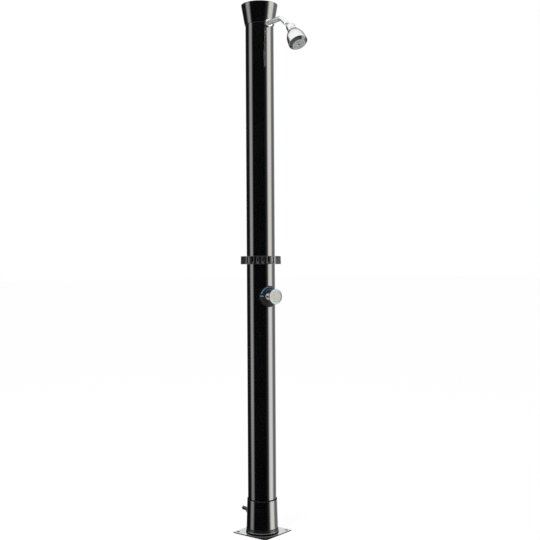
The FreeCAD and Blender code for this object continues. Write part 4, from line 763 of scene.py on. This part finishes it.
def head():
    """Ball with its neck, the nut over it, the bell, the dark cone ring and the spray face."""
    ball, neck, bore = 13.5, 6.0, 3.5
    hang = drooping(HEAD_DROOP)
    start = -math.sqrt(ball ** 2 - neck ** 2)
    sphere = bowed((neck, start), (ball, 0), ball, 12)
    sphere += bowed((ball, 0), (bore, 13.04), ball, 16)[1:]
    piece = lathe("swivel_ball_neck", [
        (bore, -36.4), (8.9, -36.4, 0.4), (8.9, -21.4), (10.5, -21.4, 0.4), (10.5, -19.4, 0.5),
        (neck, -17.4, 1.0), *sphere], drooping(ARM_DROOP))
    wear(piece, "post", "chrome", "bell_chrome", "swivel_ball")

    pocket = bowed((15.1, 0), (11.57, -9.7), -15.1, 10)
    piece = lathe("ball_cap_nut", [
        (13, -11, 0.3), (16.2, -11, 0.8), (18, -8.6, 1.2), (18, 9.6, 0.3), (17.5, 10.0, 0.3),
        (17.5, 10.8, 0.3), (18, 11.2, 0.3), (18, 14, 1.0), (16.4, 14), (16.4, 5.9), (15.1, 5.9),
        *pocket], hang)
    wear(piece, "head", "chrome", "bell_chrome", "ball_nut")

    outer = bowed((19.5, 14.3), (22.7, 22.5), -13, 8)
    outer += bowed((22.7, 22.5), (36.3, 56.5), 62, 14)[1:]
    inner = bowed((34.3, 57), (20.7, 24), -60, 10)
    piece = lathe("bell", [
        (14.6, 6), (16.2, 6), (16.2, 14.3), *outer, (38.2, 79, 0.5), (36.2, 79, 0.3), *inner,
        (16.7, 18.2), (7, 18.2), (7, 16.2), (14.6, 16.2)], hang, 144)
    wear(piece, "head", "chrome", "bell_chrome", "head_shell")

    piece = lathe("cone_ring", [
        (31.5, 72.5), (34.7, 72.5), (34.7, 79.1), (38.2, 79.1, 0.5), (35.6, 81.8, 2),
        (27.2, 88.6, 0.8), (26.4, 89.0, 0.3), (26.4, 79.9), (31.5, 79.9)], hang, 144)
    wear(piece, "head", "smoked_chrome", "smoked_ring", "face_ring")

    face, dip, ease = 88.6, 88.1, 0.2
    rings = []
    for groove in (5.6, 12.2, 19.4):
        rings += [(groove, face, ease), (groove + 0.35, dip, ease),
                  (groove + 1.1, dip, ease), (groove + 1.45, face, ease)]
    piece = lathe("spray_plate", [
        (0, 86), (23.7, 86), (23.7, 76), (31.3, 76), (31.3, 79.8), (26.3, 79.8), (26.3, face, 0.5),
        *rings[::-1], (0, face)], hang, 144, closed=False)
    wear(piece, "head", "face_grey", "face_grey", "spray_face")

    spray_nozzles()
    piece = lathe("face_screw_cap", [
        (0, 86.5), (1.9, 86.5), (1.9, 88.7), (3.5, 88.7, 0.2), (3.0, 90.2, 0.5), (1.4, 90.2, 0.1),
        (1.2, 89.5), (0, 89.5)], hang, 48, closed=False)
    wear(piece, "head", "screw_steel", "graphite_plastic", "face_screw")


def spray_nozzles():
    """Soft nozzles in three rings: one small cone with a hole, repeated at each place."""
    around = 14
    outline = np.array([(1.45, 88.5), (1.25, 89.3), (0.95, 89.75), (0.55, 89.7), (0.45, 89.0)])
    turn = full_turn(around)
    cone = np.stack([outline[:, :1] * np.cos(turn), outline[:, :1] * np.sin(turn),
                     np.repeat(outline[:, 1:], around, 1)], 2).reshape(-1, 3)
    one = np.concatenate([cone, [[0, 0, 89.0], [0, 0, 88.4]]])
    rows = len(outline)
    last, top, foot = (rows - 1) * around, len(one) - 2, len(one) - 1
    faces = [tuple(quad) for quad in ring_quads(rows, around, rows - 1)]
    faces += [(last + k, last + (k + 1) % around, top) for k in range(around)]
    faces += [((k + 1) % around, k, foot) for k in range(around)]
    points, every = [], []
    for radius, count in ((8.97, 8), (14.63, 12), (20.3, 18)):
        for k in range(count):
            angle = 2 * math.pi * k / count
            every += [tuple(index + len(points) * len(one) for index in face) for face in faces]
            points.append(one + [radius * math.cos(angle), radius * math.sin(angle), 0])
    piece = to_object("spray_nozzles", np.concatenate(points), every, drooping(HEAD_DROOP))
    wear(piece, "head", "black_rubber", "nozzle_rubber", "nozzle_mat")


# ------------------------------------------------------------------ inlet

def inlet():
    """Lock nut, hose connector with a fluted grip, and the ring on its nose."""
    grip, bore, place = 14.0, 10.5, backward(INLET_Z)

    def flutes(depth, count, low, high):
        def shape(radius, along, angle):
            fade, under = 1.2, 13
            wave = 0.5 - 0.5 * np.cos(count * angle)
            window = smooth(low, low + fade, along) * (1 - smooth(high - fade, high, along))
            return radius - depth * wave ** 2 * window * (radius > under), along
        return shape

    rows = [(grip, a) for a in (72, 72.4, 72.8, 73.2, 94.0, 94.4, 94.8, 95.2)]
    piece = lathe("hose_connector_body", [
        (bore, 69.3), (grip, 69.3, 0.5), *rows, (grip, 97.8, 1.0), (12, 100, 0.6), (9.5, 100, 0.5),
        (9.5, 104, 0.5), (8, 104, 0.3), (8, 124, 0.2), (7, 124, 0.2), (7, 127, 0.2), (8, 127, 0.2),
        (8, 134.6, 0.5), (6.5, 136, 0.4), (4.5, 136, 0.3), (4.5, 88), (bore, 88)], place, 20 * 12,
        shape=flutes(0.9, 20, 71.8, 95.6))
    wear(piece, "post", "black_fittings", "fitting_black", "hose_connector")

    rows = [(grip, a) for a in (62.0, 62.4, 62.8, 63.2, 66.8, 67.2, 67.6, 68.0)]
    piece = lathe("inlet_ring_nut", [
        (bore, 61, 0.3), (13.4, 61, 0.4), *rows, (13.4, 69, 0.4), (bore, 69, 0.3)], place, 12 * 16,
        shape=flutes(1.1, 12, 61.8, 68.2))
    wear(piece, "post", "black_fittings", "fitting_black", "inlet_lock_nut")

    ring, cord, seat = 7.57, 0.55, 125.5
    loop = [(ring + cord * math.cos(a), seat + cord * math.sin(a)) for a in full_turn(16)]
    piece = lathe("nose_ring", loop, place, 64)
    wear(piece, "post", "black_rubber", "black_rubber", "nose_o_ring")


# ------------------------------------------------------------------ what the covers hide

NODE_FINISHES = {
    "cast_aluminium": ["base_socket"],
    "screw_steel": ["plate_screws", "tube_screws", "knob_grub_screw", "flow_screen"],
    "ring_black": ["lower_collar", "upper_collar"],
    "fitting_black": ["inlet_bulkhead"],
    "black_rubber": ["inlet_gaskets", "arm_gaskets", "connector_washer", "joint_seal",
                     "spigot_o_rings"],
    "machined_brass": ["mixer_body", "arm_elbow", "cartridge_gland", "mixer_lock_nut",
                       "mixer_spindle"],
    "moulded_white": ["mixer_cartridge", "ball_seat", "swivel_ring", "spline_adapter",
                      "nut_slip_ring", "head_funnel", "jet_plate"],
    "tank_plastic": ["lower_tank_floor", "lower_tank_lid", "upper_tank_floor", "upper_tank_lid",
                     "mixer_saddle", "feed_manifold"],
    "pipe_grey": ["tank_feed_pipe", "cold_pipe", "hot_pipe_lower", "riser_pipe_lower",
                  "hot_pipe_upper", "riser_pipe_upper"],
}


def dress_nodes():
    """Finishes for the CAD pieces that keep their own shape."""
    for material, nodes in NODE_FINISHES.items():
        for node in nodes:
            data = frame["nodes"][node].data
            data.materials.clear()
            data.materials.append(FINISHES[material])


# ------------------------------------------------------------------ scene

VIEW_TURN = 36.0        # the camera's way round the column from the arm's direction, in degrees
TOWARD = np.array([-math.sin(math.radians(VIEW_TURN)), -math.cos(math.radians(VIEW_TURN)), 0])
RIGHT = np.array([math.cos(math.radians(VIEW_TURN)), -math.sin(math.radians(VIEW_TURN)), 0])

FLOOR_GREY = 0.80       # the floor's paper
FLOOR_WHITE = 1.10      # its own light, for the camera only
FLOOR_GLOW = 0.80       # the share of that light in what the camera sees
DOME_LIGHT = 0.68       # the even light on matt surfaces
# what gloss and metal mirror: degrees to the right of the camera's own direction, then the
# light's strength as red, green and blue
STUDIO = [
    (-180, (1.0, 1.0, 1.0)), (-168, (1.0, 1.0, 1.0)), (-156, (0.03, 0.03, 0.03)),
    (-108, (0.015, 0.015, 0.015)), (-100, (0.15, 0.15, 0.15)), (-92, (1.2, 1.2, 1.22)),
    (-86, (1.83, 1.85, 1.88)), (-73, (1.83, 1.85, 1.88)), (-66.5, (0.8, 0.8, 0.82)),
    (-60.5, (0.03, 0.03, 0.032)), (-55, (0.002, 0.002, 0.003)), (33, (0.002, 0.002, 0.003)),
    (44, (0.06, 0.065, 0.07)), (52, (0.18, 0.19, 0.19)), (57.5, (0.65, 0.65, 0.65)),
    (65, (3.55, 3.48, 3.32)), (76, (4.25, 4.15, 3.95)), (94, (3.6, 3.5, 3.35)),
    (104, (1.0, 1.02, 1.02)), (115, (0.50, 0.53, 0.54)), (145, (0.40, 0.42, 0.43)),
    (160, (0.95, 0.95, 0.95)), (180, (1.0, 1.0, 1.0))]
# the pale top, the pale floor and the dimmer foot of the left half: a strength or a share, and
# the heights, as sines above the horizon, where it begins and where it is full
STUDIO_TOP, TOP_EDGES = 1.05, (0.27, 0.36)
STUDIO_FLOOR, FLOOR_EDGES = 0.80, (-0.31, -0.46)
STUDIO_FOOT, FOOT_EDGES = 0.55, (-0.12, -0.30)


def camera():
    """Level camera at chest height, 3.65 m from the column, leaning by a third of a degree."""
    distance, height, lean = 3.650, 1.0899, 0.0058
    data = bpy.data.cameras.new("camera")
    data.sensor_width, data.lens = 36.0, 59.57
    data.shift_x, data.shift_y = 0.0169, -0.0093
    data.clip_end = 200
    eye = put("camera", data)
    up = np.array([0, 0, 1.0])
    matrix = np.eye(4)
    matrix[:3, 0] = RIGHT - lean * up
    matrix[:3, 1] = up + lean * RIGHT
    matrix[:3, 2] = TOWARD
    matrix[:3, :3] /= np.linalg.norm(matrix[:3, :3], axis=0)
    matrix[:3, 3] = TOWARD * distance + up * height
    eye.matrix_world = Matrix(matrix.tolist())
    bpy.context.scene.camera = eye


def shader_mix(tree, share, first, second):
    """A Mix Shader node between two shaders; its share is a socket or a number."""
    node = tree.nodes.new("ShaderNodeMixShader")
    for socket, value in zip(node.inputs, (share, first, second)):
        feed(tree, socket, value)
    return node.outputs[0]


def floor():
    """Pale floor with the object's shadow on it; gloss and metal see the sweep below it."""
    half = 60.0
    corners = [(-half, -half, 0), (half, -half, 0), (half, half, 0), (-half, half, 0)]
    mesh = bpy.data.meshes.new("floor")
    mesh.from_pydata(corners, [], [(0, 1, 2, 3)])
    material = bpy.data.materials.new("pale_floor")
    material.use_nodes = True
    tree = material.node_tree
    tree.nodes.clear()
    paper = tree.nodes.new("ShaderNodeBsdfDiffuse")
    paper.inputs["Color"].default_value = (FLOOR_GREY, FLOOR_GREY, FLOOR_GREY, 1)
    glow = tree.nodes.new("ShaderNodeEmission")
    glow.inputs["Color"].default_value = (1, 1, 1, 1)
    glow.inputs["Strength"].default_value = FLOOR_WHITE
    clear = tree.nodes.new("ShaderNodeBsdfTransparent")
    path = tree.nodes.new("ShaderNodeLightPath")
    seen = shader_mix(tree, FLOOR_GLOW, paper.outputs[0], glow.outputs[0])
    pick = shader_mix(tree, path.outputs["Is Camera Ray"], paper.outputs[0], seen)
    mirrored = shader_mix(tree, path.outputs["Is Glossy Ray"], pick, clear.outputs[0])
    out = tree.nodes.new("ShaderNodeOutputMaterial")
    tree.links.new(mirrored, out.inputs["Surface"])
    mesh.materials.append(material)
    put("floor", mesh)


def vector_node(tree, operation, vector, socket, value, result):
    """A Vector Math node on a vector, with a fixed value in one more socket."""
    node = tree.nodes.new("ShaderNodeVectorMath")
    node.operation = operation
    node.inputs[socket].default_value = value
    tree.links.new(vector, node.inputs[0])
    return node.outputs[result]


def eased(tree, value, edges):
    """0 at the first edge, 1 at the second, with a soft start and end: a Map Range node."""
    node = tree.nodes.new("ShaderNodeMapRange")
    node.interpolation_type = "SMOOTHSTEP"
    node.inputs["From Min"].default_value, node.inputs["From Max"].default_value = edges
    tree.links.new(value, node.inputs["Value"])
    return node.outputs["Result"]


def world():
    """White behind the object for the camera, an even dome for matt surfaces, and for gloss
    and metal a studio: two tall lights, a dark front, a white sweep behind and a pale top.

    The studio's brightness is read from a ramp by atan2(right, toward). Its left half fades
    to a share of itself low down, and soft changes lead to the pale top and the pale floor."""
    scene_world = bpy.data.worlds.new("studio")
    bpy.context.scene.world = scene_world
    scene_world.use_nodes = True
    tree = scene_world.node_tree
    tree.nodes.clear()
    direction = tree.nodes.new("ShaderNodeTexCoord").outputs["Generated"]
    right, toward = (vector_node(tree, "DOT_PRODUCT", direction, 1, tuple(axis), "Value")
                     for axis in (RIGHT, TOWARD))
    angle = math_node(tree, "ARCTAN2", right, toward)
    ramp = tree.nodes.new("ShaderNodeValToRGB")
    strongest = max(max(light) for _, light in STUDIO)
    stops = ramp.color_ramp.elements
    while len(stops) < len(STUDIO):
        stops.new(0.5)
    for stop, (degrees, light) in zip(stops, STUDIO):
        stop.position = degrees / 360 + 0.5
        stop.color = (*[part / strongest for part in light], 1)
    tree.links.new(math_node(tree, "MULTIPLY_ADD", angle, 0.5 / math.pi, 0.5), ramp.inputs["Fac"])
    around = vector_node(tree, "SCALE", ramp.outputs["Color"], "Scale", strongest, "Vector")
    dimmed = vector_node(tree, "SCALE", around, "Scale", STUDIO_FOOT, "Vector")
    apart = tree.nodes.new("ShaderNodeSeparateXYZ")
    tree.links.new(direction, apart.inputs[0])
    top, low, foot = (eased(tree, apart.outputs["Z"], edges)
                      for edges in (TOP_EDGES, FLOOR_EDGES, FOOT_EDGES))
    on_left = math_node(tree, "LESS_THAN", right, 0.0)
    mirrored = colour_mix(tree, math_node(tree, "MULTIPLY", on_left, foot), around, dimmed)
    mirrored = colour_mix(tree, top, mirrored, STUDIO_TOP)
    mirrored = colour_mix(tree, low, mirrored, STUDIO_FLOOR)
    path = tree.nodes.new("ShaderNodeLightPath")
    glossy = colour_mix(tree, path.outputs["Is Glossy Ray"], DOME_LIGHT, mirrored)
    white = math_node(tree, "MAXIMUM", path.outputs["Is Camera Ray"],
                      path.outputs["Is Transmission Ray"])
    shine = tree.nodes.new("ShaderNodeBackground")
    tree.links.new(colour_mix(tree, white, glossy, 1.0), shine.inputs["Color"])
    out = tree.nodes.new("ShaderNodeOutputWorld")
    tree.links.new(shine.outputs[0], out.inputs["Surface"])


def lamps():
    """One large soft lamp from the front left, for gentle shape and a faint floor shadow."""
    toward, left, height, aim_height = 3.0, 1.9, 3.3, 1.0
    side, power = 1.8, 90.0
    data = bpy.data.lights.new("soft_key", "AREA")
    data.shape, data.size, data.size_y, data.energy = "RECTANGLE", side, side, power
    key = put("soft_key", data)
    spot = TOWARD * toward - RIGHT * left + np.array([0, 0, height])
    aim = Vector((0, 0, aim_height)) - Vector(spot)
    key.rotation_mode = "QUATERNION"
    key.rotation_quaternion = aim.to_track_quat("-Z", "Y")
    key.location = spot
    key.visible_glossy = False


column_tubes()
flared_cap()
foot_cover()
ring_nut()
foot_plate()
mixer_front()
knob()
bent_arm()
hexagon_nut()
head()
inlet()
dress_nodes()
camera()
floor()
world()
lamps()
bpy.context.scene.view_settings.view_transform = "Standard"
